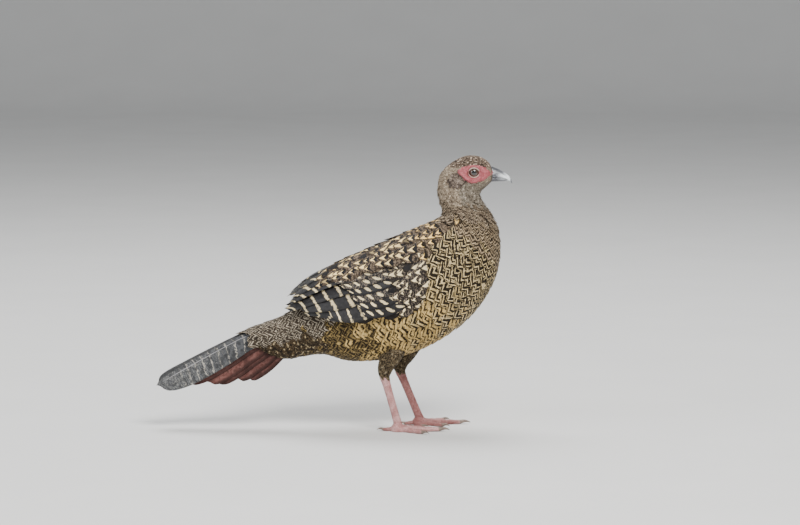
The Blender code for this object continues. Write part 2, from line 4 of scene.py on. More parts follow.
import bpy
import numpy as np
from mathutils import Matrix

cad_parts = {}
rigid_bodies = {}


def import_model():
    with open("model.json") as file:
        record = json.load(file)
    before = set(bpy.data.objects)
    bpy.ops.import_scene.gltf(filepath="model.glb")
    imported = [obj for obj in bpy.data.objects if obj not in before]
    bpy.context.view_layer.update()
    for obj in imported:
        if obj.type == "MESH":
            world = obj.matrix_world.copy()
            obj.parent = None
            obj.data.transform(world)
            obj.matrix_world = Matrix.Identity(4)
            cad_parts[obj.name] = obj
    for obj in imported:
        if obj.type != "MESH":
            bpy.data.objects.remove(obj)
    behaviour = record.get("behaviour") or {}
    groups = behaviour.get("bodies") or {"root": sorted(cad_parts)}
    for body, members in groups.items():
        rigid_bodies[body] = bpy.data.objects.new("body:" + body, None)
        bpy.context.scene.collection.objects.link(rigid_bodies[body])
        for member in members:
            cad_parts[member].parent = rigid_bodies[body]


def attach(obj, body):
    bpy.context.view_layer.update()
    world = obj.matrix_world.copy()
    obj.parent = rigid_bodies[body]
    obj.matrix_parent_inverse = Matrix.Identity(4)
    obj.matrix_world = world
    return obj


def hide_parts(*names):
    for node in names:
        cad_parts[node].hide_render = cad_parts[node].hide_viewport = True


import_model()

bl_info = {
    "name": "Hen Pheasant Model Maker",
    "version": (1, 0, 0),
    "blender": (4, 5, 0),
    "location": "View3D > Sidebar > Pheasant",
    "description": "Makes a life-size standing hen pheasant with laid feathers, scaled legs and a studio",
    "category": "Object",
}

MM = 0.001
FULL_TURN = 2 * math.pi
SIDES = {"right": -1.0, "left": 1.0}

# Rings of the body in millimetres, from over the tail's root to the bill: back point x, z, belly point x, z,
# half width. The first two rows only carry the ends of the tail coverts.
BODY = np.array([
    (-131, 100.5, -117, 74.5, 15), (-112, 109.5, -100, 83.5, 16.5), (-95, 116.8, -84.5, 89.5, 17.5),
    (-88, 119.6, -73.5, 84.5, 20.5), (-79, 122.8, -60.5, 81, 22), (-69, 126.4, -47, 80.2, 22.6),
    (-59.2, 130.4, -36.2, 82.8, 22), (-32.8, 146.5, -9.8, 85.5, 30), (-4, 165.6, 15.5, 78.8, 39),
    (24.7, 187.5, 42, 78, 46), (51.2, 207, 74.2, 82, 51), (74.2, 222.3, 108.7, 94.3, 53),
    (93.7, 231.9, 139.7, 112.7, 53), (108.7, 238, 163.9, 134.6, 50.5), (117.9, 241.8, 181.1, 159.9, 46),
    (123.6, 245.3, 190.3, 182.9, 40.5), (125.9, 249.3, 193.2, 205.9, 35), (125.9, 254.2, 191.5, 226.6, 29.5),
    (124.2, 259.9, 184.6, 244.4, 24.5), (122.8, 266.2, 174.8, 257.6, 20.8), (121.7, 273.1, 169.4, 268, 18.6),
    (121.7, 281.8, 169.6, 273.1, 17.3), (123.6, 292.1, 173.1, 277.2, 16.6),
    (130.5, 301.9, 178.3, 281.2, 15.6), (140.9, 309.9, 181.1, 283.5, 14.4),
    (153.5, 315.1, 182.9, 284.6, 13.2), (166.8, 314.8, 184, 285.2, 11.7), (176.5, 310.2, 184.6, 285.5, 9.6),
    (183.4, 302.5, 185.2, 285.8, 7),
])
TAIL_ROW, COVERT_ROW, LAST_ROW = 2.0, 4.3, 28.0

# Shell that the folded wings lie on, from the bend of the wing to the tips: x, top z, bottom z, half width.
WING = np.array([
    (122.5, 243.2, 101.2, 51.5), (99.5, 234.6, 90.9, 57.5), (76.5, 225.4, 81.7, 61), (42, 211, 78.2, 62),
    (19, 201.3, 78.2, 59.5), (-4, 189.8, 82.8, 53.5), (-27, 174.8, 90.9, 44), (-52.3, 152, 104.7, 28),
])
# How far the wing's lower edge swings down at x, in radians.
WING_SWING = ((-45.0, 20.0, 78.0, 115.0), (-0.19, 0.0, 0.10, 0.18))
# The back filled out between the wings: how deep its groove lies under the shell at the spine, how much it
# rises beside the spine, and where the filling begins and ends, as x from the rear and as turns of the shell.
GROOVE_DEPTH, GROOVE_RISE, GROOVE_TURN = 3.4, 2.6, 0.5
FILL_REAR, FILL_FRONT, FILL_EDGE = (-52, -8), (84, 116), (0.85, 1.15)

# The tail's root as x, z, its length, the fall of its axis at the root and how much more at the tip, the
# radius round its ridge, the steepest slope of its roof, and the ridge's height over the axis at two places.
TAIL_ROOT, TAIL_LENGTH = (-32.8, 128.4), 190.0
TAIL_SLOPE, TAIL_DROOP = math.radians(25.0), math.radians(1.5)
TAIL_ROUND, TAIL_STEEP = 15.0, math.radians(80)
TAIL_RIDGE = ((30.0, 75.0), (10.5, 15.5))
# Tail feathers of a side from the middle out: length, how far down the roof the shaft lies at root and tip,
# and the widths of the web above and below it.
TAIL_FEATHERS = np.array([
    (187.4, 10.0, 14.0, 15.5, 21.0), (174, 13.0, 20.0, 11.0, 14.0), (155, 16.0, 28.0, 10.0, 13.0),
    (134, 19.5, 37.5, 10.0, 14.0), (126, 23.0, 42.0, 10.0, 13.5), (103, 26.5, 48.0, 10.0, 14.0),
    (92, 30.0, 52.5, 10.0, 14.0),
])

# Heel and sole of each leg as x, z, and the distance of both from the middle of the bird.
LEGS = {"right": ((58.1, 69.0), (77.6, 0.0)), "left": ((75.4, 67.9), (103.5, 0.0))}
LEG_Y = 27.0
# The thigh from inside the body down: ahead, inward and up from the heel, half depth and half width. Its last
# ring lies at a share of the shank.
THIGH = np.array([(19, 8, 42, 14, 11), (12.5, 7, 27, 13, 11), (7, 4, 14, 10.5, 9), (3, 1, 5, 8, 7)])
THIGH_END, THIGH_END_SIZE = 0.06, (5.9, 4.9)
EYE_X, EYE_Z, EYE_Y, EYE_R = 162.2, 296.7, 8.3, 6.8


# Curves and surfaces


def spline(table, at):
    """Catmull-Rom curve through the rows of a table: p(f) is the cubic through rows k and k+1 whose slope at
    each is half the step between its neighbours."""
    table = np.asarray(table, float)
    at = np.clip(np.asarray(at, float), 0, len(table) - 1)
    padded = np.vstack([2 * table[0] - table[1], table, 2 * table[-1] - table[-2]])
    k = np.minimum(at.astype(int), len(table) - 2)
    f = (at - k)[..., None]
    a, b, c, d = (padded[k + n] for n in range(4))
    return 0.5 * (2 * b + (c - a) * f + (2 * a - 5 * b + 4 * c - d) * f**2 + (3 * b - a - 3 * c + d) * f**3)


def step(value, low, high):
    """Smooth rise from 0 at low to 1 at high: t squared times (3 - 2t)."""
    t = np.clip((value - low) / (high - low), 0, 1)
    return t * t * (3 - 2 * t)


def together(a, b):
    """Two parameters of a surface as arrays of one shape."""
    return np.broadcast_arrays(np.asarray(a, float), np.asarray(b, float))


def ring_grid(low, high, rings, around):
    """Places from low to high, one for each ring, and turns all the way round, as two tables."""
    turns = np.linspace(0, FULL_TURN, around, endpoint=False)
    return np.meshgrid(np.linspace(low, high, rings), turns, indexing="ij")


def body_surface(row, turn):
    """Point of the body at a row of the table and a turn from the back: middle + cos(turn) * half the height
    + |sin(turn)| ** 0.9 * half the width."""
    row, turn = together(row, turn)
    x_top, z_top, x_low, z_low, half = np.moveaxis(spline(BODY, row), -1, 0)
    side = np.sign(np.sin(turn)) * np.abs(np.sin(turn)) ** 0.9
    x = (x_top + x_low) / 2 + np.cos(turn) * (x_top - x_low) / 2
    z = (z_top + z_low) / 2 + np.cos(turn) * (z_top - z_low) / 2
    return np.stack([x, side * half, z], -1)


def wing_slice(x):
    """Half width, middle height and half height of the wing shell at x."""
    at = np.interp(-np.asarray(x, float), -WING[:, 0], np.arange(len(WING)))
    _, top, low, half = np.moveaxis(spline(WING, at), -1, 0)
    return half, (top + low) / 2, (top - low) / 2


def mantle_surface(row, turn):
    """The body filled out over the back to the level of the wing shell, so the shoulder feathers run onto the
    wings: body point + its outward direction * (distance to the shell - a shallow groove along the spine)."""
    point = body_surface(row, turn)
    x = point[..., 0]
    half, middle, high = wing_slice(x)
    across, up = point[..., 1] / half, (point[..., 2] - middle) / high
    shell_turn = np.abs(np.arctan2(across, up))
    away = np.stack([0 * across, point[..., 1], point[..., 2] - middle], -1)
    far = np.linalg.norm(away, axis=-1, keepdims=True) + 1e-9
    gap = (1 / np.maximum(np.hypot(across, up), 0.2) - 1) * far[..., 0]
    groove = GROOVE_DEPTH - GROOVE_RISE * step(shell_turn, 0.0, GROOVE_TURN)
    within = step(x, *FILL_REAR) * (1 - step(x, *FILL_FRONT)) * (1 - step(shell_turn, *FILL_EDGE))
    fill = np.maximum(gap - groove, 0) * within
    return point + away / far * fill[..., None]


def wing_surface(x, turn):
    """Point of the wing shell: an upright oval slice at x, at a turn from its top that grows by the swing of
    the lower edge, down at the front and up at the rear."""
    x, turn = together(x, turn)
    half, middle, high = wing_slice(x)
    turn = turn + np.interp(x, *WING_SWING) * (turn / 1.75) ** 2
    return np.stack([x, half * np.sin(turn), middle + high * np.cos(turn)], -1)


def tail_surface(along, down):
    """Point of the tail's roof: down the slope from the ridge, first round the ridge on an arc and then
    straight at the steepest slope, at a distance along the drooping axis."""
    along, down = together(along, down)
    slope = TAIL_SLOPE + TAIL_DROOP * along / TAIL_LENGTH
    radius = TAIL_ROUND * (1 - 0.45 * along / TAIL_LENGTH)
    bend = np.clip(down / radius, -TAIL_STEEP, TAIL_STEEP)
    rest = down - bend * radius
    out = radius * np.sin(bend) + rest * math.cos(TAIL_STEEP)
    drop = radius * (1 - np.cos(bend)) + np.abs(rest) * math.sin(TAIL_STEEP)
    height = np.interp(along, *TAIL_RIDGE) - drop
    x = TAIL_ROOT[0] - along * np.cos(slope) - height * np.sin(slope)
    z = TAIL_ROOT[1] - along * np.sin(slope) + height * np.cos(slope)
    return np.stack([x, out, z], -1)


def leg_point(which, share):
    """A point on the shank's line: share 0 at the heel and 1 at the sole."""
    (heel_x, heel_z), (sole_x, sole_z) = LEGS[which]
    x, z = heel_x + (sole_x - heel_x) * share, heel_z + (sole_z - heel_z) * share
    return np.array([x, SIDES[which] * LEG_Y, z])


def thigh_surface(which):
    """Surface round the thigh's line: point(t) + cos(turn) * fore * normal + sin(turn) * side * the +Y axis,
    with t from 0 in the body to 4 below the heel."""
    heel, mirror = leg_point(which, 0.0), (1, -SIDES[which], 1)
    line = np.vstack([heel + THIGH[:, :3] * mirror, leg_point(which, THIGH_END)])
    sizes = np.vstack([THIGH[:, 3:], THIGH_END_SIZE])

    def surface(t, turn):
        t, turn = together(t, turn)
        way = spline(line, t + 0.01) - spline(line, t - 0.01)
        way /= np.linalg.norm(way, axis=-1, keepdims=True)
        fore, side = np.moveaxis(spline(sizes, t), -1, 0)
        reach = (np.cos(turn) * fore)[..., None] * -np.cross((0.0, 1.0, 0.0), way)
        reach[..., 1] += np.sin(turn) * side
        return spline(line, t) + reach

    return surface


def normals_of(surface, a, b, da, db):
    """Unit normals of a surface by central differences in its two parameters, with the sense of da x db."""
    normal = np.cross(surface(a + da, b) - surface(a - da, b), surface(a, b + db) - surface(a, b - db))
    return normal / np.maximum(np.linalg.norm(normal, axis=-1, keepdims=True), 1e-12)


def turn_worth(surface, place, turn, small):
    """How many millimetres of the surface one radian of turn is worth at a place."""
    return np.linalg.norm(surface(place, turn + small) - surface(place, turn - small), axis=-1) / (2 * small)


# Meshes


def link_mesh(name, points, quads, material=None):
    """A smooth mesh object of the scene from points in millimetres and rows of four indices."""
    mesh = bpy.data.meshes.new(name)
    quads = np.asarray(quads, np.int32)
    mesh.vertices.add(len(points))
    mesh.vertices.foreach_set("co", (np.asarray(points, float) * MM).ravel())
    mesh.loops.add(quads.size)
    mesh.loops.foreach_set("vertex_index", quads.ravel())
    mesh.polygons.add(len(quads))
    mesh.polygons.foreach_set("loop_start", np.arange(0, quads.size, 4, dtype=np.int32))
    mesh.polygons.foreach_set("use_smooth", np.ones(len(quads), bool))
    mesh.update(calc_edges=True)
    if material:
        mesh.materials.append(MATERIALS[material])
    made = bpy.data.objects.new(name, mesh)
    bpy.context.scene.collection.objects.link(made)
    return made


def make_piece(name, points, quads, material, slot, replaced=()):
    """A piece of the model: a mesh that rides on the root and stands for some of the nodes, which it hides.
    The slot is not used.
    """
    made = link_mesh(name, points, quads, material)
    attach(made, "root")
    if replaced:
        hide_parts(*replaced)
    return made


def make_closed_piece(*settings):
    """A piece whose faces are all turned outwards."""
    made = make_piece(*settings)
    outward_faces(made.data)
    return made


def read_points(mesh):
    points = np.empty(len(mesh.vertices) * 3)
    mesh.vertices.foreach_get("co", points)
    return points.reshape(-1, 3)


def outward_faces(mesh):
    """Turns all the faces of a closed mesh outwards, by the sign of its volume."""
    corners = np.empty(len(mesh.loops), np.int32)
    mesh.loops.foreach_get("vertex_index", corners)
    corners = read_points(mesh)[corners.reshape(len(mesh.polygons), -1)]
    a, b, c, d = (corners[:, k] for k in (0, 1, 2, -1))
    volume = np.sum(np.einsum("ij,ij->i", a, np.cross(b, c)) + np.einsum("ij,ij->i", a, np.cross(c, d)))
    if volume < 0:
        mesh.flip_normals()


def bake_modifiers(made, material):
    """Gives an object the mesh that its modifiers make."""
    bpy.context.view_layer.update()
    mesh = bpy.data.meshes.new_from_object(made.evaluated_get(bpy.context.evaluated_depsgraph_get()))
    made.modifiers.clear()
    made.data = mesh
    mesh.materials.clear()
    mesh.materials.append(MATERIALS[material])
    return mesh


def tube_quads(rings, around):
    """Quads between rings of a tube and fans of quads to a pole point at each end. Points are rings * around
    and then the two poles; around is even."""
    i, j = np.meshgrid(np.arange(rings - 1), np.arange(around), indexing="ij")
    a, b = i * around + j, i * around + (j + 1) % around
    body = np.stack([a, b, b + around, a + around], -1).reshape(-1, 4)
    first, base = rings * around, (rings - 1) * around
    k = np.arange(0, around, 2)
    after = (k + 2) % around
    start = np.stack([np.full(len(k), first), after, k + 1, k], -1)
    end = np.stack([np.full(len(k), first + 1), base + k, base + k + 1, base + after], -1)
    return np.concatenate([body, start, end])


def tubes(shells, poles=None):
    """Points and quads of closed tubes, each from its rings and a pole in the middle of each end ring."""
    points, quads, base = [], [], 0
    for rings in shells:
        count, around = rings.shape[:2]
        points += [rings.reshape(-1, 3), rings[[0, -1]].mean(1) if poles is None else poles]
        quads.append(tube_quads(count, around) + base)
        base += count * around + 2
    return np.concatenate(points), np.concatenate(quads)


def wrapped_quads(rings, around):
    """Quads of a grid that closes both ways, like a ring."""
    i, j = np.meshgrid(np.arange(rings), np.arange(around), indexing="ij")
    below, beside = (i + 1) % rings, (j + 1) % around
    corners = [i * around + j, i * around + beside, below * around + beside, below * around + j]
    return np.stack(corners, -1).reshape(-1, 4)


def vane_plan(rows, columns):
    """The plan of one thin closed vane: its quads, and for each corner the vane coordinates and the place in
    the vane's own patch of the bake map: upper face on the left, lower face in the middle, rim on the right.
    """
    other = rows * columns
    number = np.arange(other).reshape(rows, columns)
    a = number[:-1, :-1].ravel()
    upper = np.stack([a, a + 1, a + columns + 1, a + columns], -1)
    rim = np.concatenate([number[0, :-1], number[:-1, -1], number[-1, :0:-1], number[:0:-1, 0]])
    following = np.roll(rim, -1)
    edge = np.stack([following, rim, rim + other, following + other], -1)
    quads = np.concatenate([upper, upper[:, ::-1] + other, edge])
    place = quads % other
    vane = np.stack([(place % columns) / (columns - 1), (place // columns) / (rows - 1)], -1)
    patch = np.empty(vane.shape)
    tops, lows = slice(0, len(upper)), slice(len(upper), 2 * len(upper))
    patch[tops] = vane[tops] * (0.64, 0.92) + (0.02, 0.04)
    patch[lows] = vane[lows] * (0.22, 0.92) + (0.69, 0.04)
    share = np.arange(len(rim)) / len(rim)
    low, high = 0.04 + 0.92 * share, 0.04 + 0.92 * (share + 1 / len(rim))
    for corner, (across, up) in enumerate(((0.93, high), (0.93, low), (0.98, low), (0.98, high))):
        patch[2 * len(upper):, corner] = np.stack([across + 0 * up, up], -1)
    return quads, vane, patch


def vane_rows(count, power):
    """Places along a vane, closer near the tip: 1 - (1 - share) ** power."""
    return 1 - (1 - np.linspace(0, 1, count)) ** power


# Share of a vane's thickness that is left at its tip.
THIN_TIP = 0.45


def vane_outline(t, root, widest, tip, power):
    """Half width of a vane along it, 1 at its widest: a smooth rise from the root and an oval end."""
    rise = root + (1 - root) * np.sin(np.clip(t / widest, 0, 1) * math.pi / 2)
    fall = np.clip((t - widest) / (1 - widest), 0, 1)
    return np.where(t < widest, rise, tip + (1 - tip) * (1 - fall**power) ** (1 / power))


def vane_sizes(length, width, chance):
    """Length, half width and two random numbers of each vane."""
    return np.stack([length, width / 2, chance.random(len(length)), chance.random(len(length))], 1)


def build_vanes(name, surface, a, b, height, small, thick, sizes, material, slot, replaced=(), out=1.0,
                mirror=1.0):
    """One mesh of many closed vanes. a and b give each point's place on a surface, small the changes of them
    that its normals are worked out with, height its distance outside. The materials read the vanes' sizes."""
    count, rows, columns = a.shape
    normal = normals_of(surface, a, b, *small) * out
    outer = surface(a, b) + normal * height[..., None]
    inner = outer - normal * (thick * np.linspace(1, THIN_TIP, rows))[:, None, None]
    outer[..., 1] *= mirror
    inner[..., 1] *= mirror
    points = np.concatenate([outer.reshape(count, -1, 3), inner.reshape(count, -1, 3)], 1)
    plan = vane_plan(rows, columns)
    facing = np.cross(outer[:, 1, 0] - outer[:, 0, 0], outer[:, 0, 1] - outer[:, 0, 0])
    if np.sum(facing * (outer[:, 0, 0] - inner[:, 0, 0])) > 0:
        plan = [part[:, ::-1] for part in plan]
    quads, vane, patch = plan
    each = points.shape[1]
    all_quads = (quads + np.arange(count)[:, None, None] * each).reshape(-1, 4)
    made = make_piece(name, points.reshape(-1, 3), all_quads, material, slot, replaced)
    side = math.ceil(math.sqrt(count))
    cell = np.stack([np.arange(count) % side, np.arange(count) // side], -1) / side
    bake = cell[:, None, None, :] + patch / side
    for key, uv in (("OFBake", bake), ("Vane", np.broadcast_to(vane, bake.shape))):
        made.data.uv_layers.new(name=key).uv.foreach_set("vector", uv.ravel())
    for key, chosen in (("vane_size", [0, 1, 2]), ("vane_chance", [2, 3, 3])):
        layer = made.data.attributes.new(key, "FLOAT_VECTOR", "POINT")
        layer.data.foreach_set("vector", np.repeat(sizes[:, chosen], each, 0).ravel())
    return made


# Nodes and shader groups


class Wire:
    """A value in a node tree. Arithmetic on it adds the nodes that work it out."""

    def __init__(self, shade, socket):
        self.shade, self.socket = shade, socket

    def calc(self, operation, other=0.0):
        return self.shade.calc(operation, self, other)

    def __add__(self, other):
        return self.calc("ADD", other)

    def __sub__(self, other):
        return self.calc("SUBTRACT", other)

    def __rsub__(self, other):
        return self.shade.calc("SUBTRACT", other, self)

    def __mul__(self, other):
        return self.calc("MULTIPLY", other)

    def __truediv__(self, other):
        return self.calc("DIVIDE", other)

    def __abs__(self):
        return self.calc("ABSOLUTE")

    def part(self):
        return self.calc("FRACT")

    def rise(self, low, high):
        """Smooth rise from 0 at low to 1 at high."""
        values = {0: self, 1: low, 2: high, 3: 0.0, 4: 1.0}
        return self.shade.add("ShaderNodeMapRange", values, interpolation_type="SMOOTHSTEP")[0]


class Shade:
    """Adds nodes to one tree. A value given as a wire is linked, anything else is set."""

    def __init__(self, tree):
        self.tree = tree

    def put(self, socket, value):
        if isinstance(value, Wire):
            self.tree.links.new(value.socket, socket)
        else:
            socket.default_value = (*value, 1.0) if socket.type == "RGBA" else value

    def add(self, kind, values=(), **settings):
        """A new node with its settings and the values of its inputs: gives its outputs by number and name."""
        node = self.tree.nodes.new(kind)
        for key, value in settings.items():
            setattr(node, key, value)
        for key, value in dict(values).items():
            self.put(node.inputs[key], value)
        wires = [Wire(self, socket) for socket in node.outputs]
        return dict(enumerate(wires)) | {wire.socket.name: wire for wire in wires}

    def calc(self, operation, a, b):
        return self.add("ShaderNodeMath", {0: a, 1: b}, operation=operation)[0]

    def mix(self, factor, a, b, blend="MIX"):
        return self.add("ShaderNodeMix", {0: factor, 6: a, 7: b}, data_type="RGBA", blend_type=blend)[2]

    def noise(self, vector, scale, detail, rough):
        values = {"Vector": vector, "Scale": scale, "Detail": detail, "Roughness": rough}
        return self.add("ShaderNodeTexNoise", values)[0]

    def vector(self, x, y, z=0.0):
        return self.add("ShaderNodeCombineXYZ", {0: x, 1: y, 2: z})[0]

    def parts(self, vector):
        wires = self.add("ShaderNodeSeparateXYZ", {0: vector})
        return wires[0], wires[1], wires[2]

    def place(self):
        """The point in the object's own space, in metres."""
        return self.add("ShaderNodeTexCoord")["Object"]

    def use(self, group, values=()):
        return self.add("ShaderNodeGroup", values, node_tree=GROUPS[group])


def make_group(key, work, outputs=("Mask",), **inputs):
    """A new shader group with named sockets. work takes a Shade and a wire for each input."""
    tree = bpy.data.node_groups.new(key.title(), "ShaderNodeTree")
    for label, default in inputs.items():
        kind = "NodeSocketVector" if isinstance(default, tuple) else "NodeSocketFloat"
        socket = tree.interface.new_socket(name=label.replace("_", " "), in_out="INPUT", socket_type=kind)
        socket.default_value = default
    for label in outputs:
        tree.interface.new_socket(name=label, in_out="OUTPUT", socket_type="NodeSocketFloat")
    shade = Shade(tree)
    entry = shade.add("NodeGroupInput")
    leave = tree.nodes.new("NodeGroupOutput")
    for value, socket in zip(work(shade, *[entry[n] for n in range(len(inputs))]), leave.inputs):
        shade.put(socket, value)
    GROUPS[key] = tree


GROUPS, MATERIALS = {}, {}
SPOT = ("Tip", "Side", "Chance")
# ROOT_SHADE is the colour of the painted shade at the feathers' roots.
BARB_SHADE, SPLIT_SHADE, ROOT_SHADE = (0.35, 0.33, 0.31), (0.3, 0.28, 0.26), (0.22, 0.2, 0.18)


def vane_place(s):
    """Where a point lies on its feather, in millimetres from the tip and from the shaft, the feather's two
    random numbers, the share of its length and its half width."""
    u, v, _ = s.parts(s.add("ShaderNodeUVMap", uv_map="Vane")[0])
    length, half, _ = s.parts(s.add("ShaderNodeAttribute", attribute_name="vane_size")[1])
    chance, second, _ = s.parts(s.add("ShaderNodeAttribute", attribute_name="vane_chance")[1])
    return (1.0 - v) * length, (u * 2.0 - 1.0) * half, chance, second, v, half


def wobble_shift(s, tip, side, chance):
    """Smooth random shift that differs from feather to feather."""
    return [s.noise(s.vector(side, tip, chance * 91.0), 0.25, 4.0, 0.68) - 0.5]


def shifted(s, tip, side, chance, wobble):
    return s.use("wobble", zip(SPOT, (tip, side, chance)))["Shift"] * wobble


def chevron_mask(s, tip, side, chance, period, slant, fill, wobble, soft, start):
    """Bars across a feather whose middle points to the tip: a repeat of (tip - slant * |side|) / period."""
    reach = tip - abs(side) * slant + shifted(s, tip, side, chance, wobble)
    value = reach / (period * ((chance * 9.1).part() * 0.3 + 0.85)) + chance * 0.5
    half = fill * 0.5
    return [1.0 - abs((value + start).part() - 0.5).rise(half - soft, half + soft)]


def wedge_mask(s, tip, side, chance, base, point, width, wobble, soft, off, vary, notch):
    """A wedge on the shaft: widest at Base from the tip and pointed at Point from the tip, moved sideways by
    Off, with its base hollowed by the notch like an arrowhead."""
    shift = shifted(s, tip, side, chance, wobble)
    size = (chance * 13.7).part() * vary + 0.8
    share = ((tip + shift) / size - point) / (base - point)
    side = abs((side - off + shift) / size)
    hollow = (width - side).calc("MAXIMUM", 0.0)
    behind = (1.0 - share) * abs(base - point) - hollow * notch
    return [(share * width - side).calc("MINIMUM", behind).rise(soft * -1.0, soft)]


def blotch_mask(s, tip, side, chance, period, start, long, wide, off, slant, wobble):
    """A row of ragged spots along a feather: an oval in the distance from each repeat and from a line beside
    the shaft, bent back by the slant."""
    shift = shifted(s, tip, side, chance, wobble)
    run = tip - side * slant + shift
    gap = ((run / period + (chance * 0.9 + start)).part() - 0.5) * period
    near = abs(gap / long).calc("POWER", 2.0)
    far = abs((side - off + shift) / wide).calc("POWER", 2.4)
    return [(1.0 - (near + far)).rise(-0.15, 0.15)]


def wavy_mask(s, tip, side, chance, period, wander, fill, soft):
    """Fine wandering lines: the sine of the distance from the tip bent by smooth noise."""
    bend = s.noise(s.vector(side, tip * 0.6, chance * 57.0), 0.42, 3.0, 0.62) * wander
    level = fill * -2.0 + 1.0
    return [((tip / period + bend) * FULL_TURN).calc("SINE").rise(level - soft, level + soft)]


def speckle_mask(s, scale, fill, seed):
    """Small irregular spots from noise in the object's own space."""
    moved = s.add("ShaderNodeVectorMath", {0: s.place(), 1: s.vector(seed, 0.0)}, operation="ADD")[0]
    level = fill * -0.36 + 0.68
    return [s.noise(moved, scale, 2.5, 0.6).rise(level - 0.05, level + 0.05)]


def edge_mask(s, tip, side, chance, start, half):
    """The rim of a feather: where the distance from the shaft passes a share of the half width."""
    return [(abs(side) / half.calc("MAXIMUM", 0.01)).rise(start - 0.12, start + 0.12)]


def barb_masks(s, tip, side, chance, spacing, shaft_width):
    """Barbs of a vane: fine ridges that slant from the shaft to the tip, the shaft itself, splits between the
    barbs, and the height of all of them."""
    side = abs(side)
    run = tip + side * 0.9
    place = s.vector(run, side * 0.12, chance * 77.0)
    value = run / spacing + s.noise(place, 0.9, 2.0, 0.5) * 2.0
    ridge = (value * FULL_TURN).calc("SINE") * 0.5 + 0.5
    splits = s.noise(place, 2.6, 2.0, 0.6).rise(0.60, 0.72)
    shaft = 1.0 - side.rise(shaft_width * 0.5, shaft_width)
    return ridge, shaft, splits, ridge * 0.35 + shaft * 1.2 - splits * 0.6


def scale_masks(s, vector, scale, seam):
    """Cells with raised middles and dark seams, for horny skin."""
    values = {"Vector": vector, "Scale": scale}
    far = s.add("ShaderNodeTexVoronoi", values, feature="DISTANCE_TO_EDGE")[0]
    near = s.add("ShaderNodeTexVoronoi", values, feature="F1")
    return (1.0 - near[0]).calc("MAXIMUM", 0.0), 1.0 - far.rise(0.0, seam), s.parts(near[1])[0]


def make_groups():
    spot = dict.fromkeys(SPOT, 0.0)
    make_group("vane place", vane_place, (*SPOT, "Second Chance", "Along", "Half Width"))
    make_group("wobble", wobble_shift, ("Shift",), **spot)
    make_group("chevrons", chevron_mask, **spot, Period=4.0, Slant=1.0, Fill=0.5, Wobble=1.0, Soft=0.08,
               Start=0.0)
    make_group("wedge", wedge_mask, **spot, Base=8.0, Point=2.0, Width=3.0, Wobble=1.0, Soft=0.35, Off=0.0,
               Vary=0.45, Notch=0.0)
    make_group("blotches", blotch_mask, **spot, Period=10.0, Start=0.3, Long=2.2, Wide=3.0, Off=4.0,
               Slant=0.0, Wobble=1.6)
    make_group("wavy lines", wavy_mask, **spot, Period=2.0, Wander=2.5, Fill=0.5, Soft=0.45)
    make_group("speckle", speckle_mask, Scale=700.0, Fill=0.5, Seed=0.0)
    make_group("edge", edge_mask, **spot, From=0.7, Half_Width=5.0)
    make_group("barbs", barb_masks, ("Ridge", "Shaft", "Splits", "Height"), **spot, Spacing=0.55,
               Shaft_Width=0.22)
    make_group("scales", scale_masks, ("Cells", "Seams", "Chance"), Vector=(0.0, 0.0, 0.0), Scale=500.0,
               Seam=0.08)


# Materials


def make_material(name, paint, roughness, specular, bump=(0.5, 0.0002), **constants):
    """A node material. paint gets a Shade and the place in the object's own space, and gives the colour, the
    roughness or None, and the height or None, which is raised by the bump's strength and distance."""
    material = bpy.data.materials.new(name)
    material.use_nodes = True
    s = Shade(material.node_tree)
    inputs = material.node_tree.nodes["Principled BSDF"].inputs
    colour, rough, height = paint(s, s.place())
    s.put(inputs["Base Color"], colour)
    s.put(inputs["Roughness"], roughness if rough is None else rough)
    if height:
        raised = s.add("ShaderNodeBump", {"Strength": bump[0], "Distance": bump[1], "Height": height})
        s.put(inputs["Normal"], raised[0])
    inputs["Specular IOR Level"].default_value = specular
    for key, value in constants.items():
        inputs[key.replace("_", " ")].default_value = value
    MATERIALS[name] = material


def mark(kind, tone, strength, *numbers, share=1.0, web=0, fade=None, by_width=False):
    """One layer of marks: a group's name, the colour and strength, and the numbers of the group's sockets in
    their order. share is how many feathers have it, web the side and fade the stretch that it is on. by_width
    says that the period is given in half widths."""
    return kind, tone, strength, numbers, share, web, fade, by_width


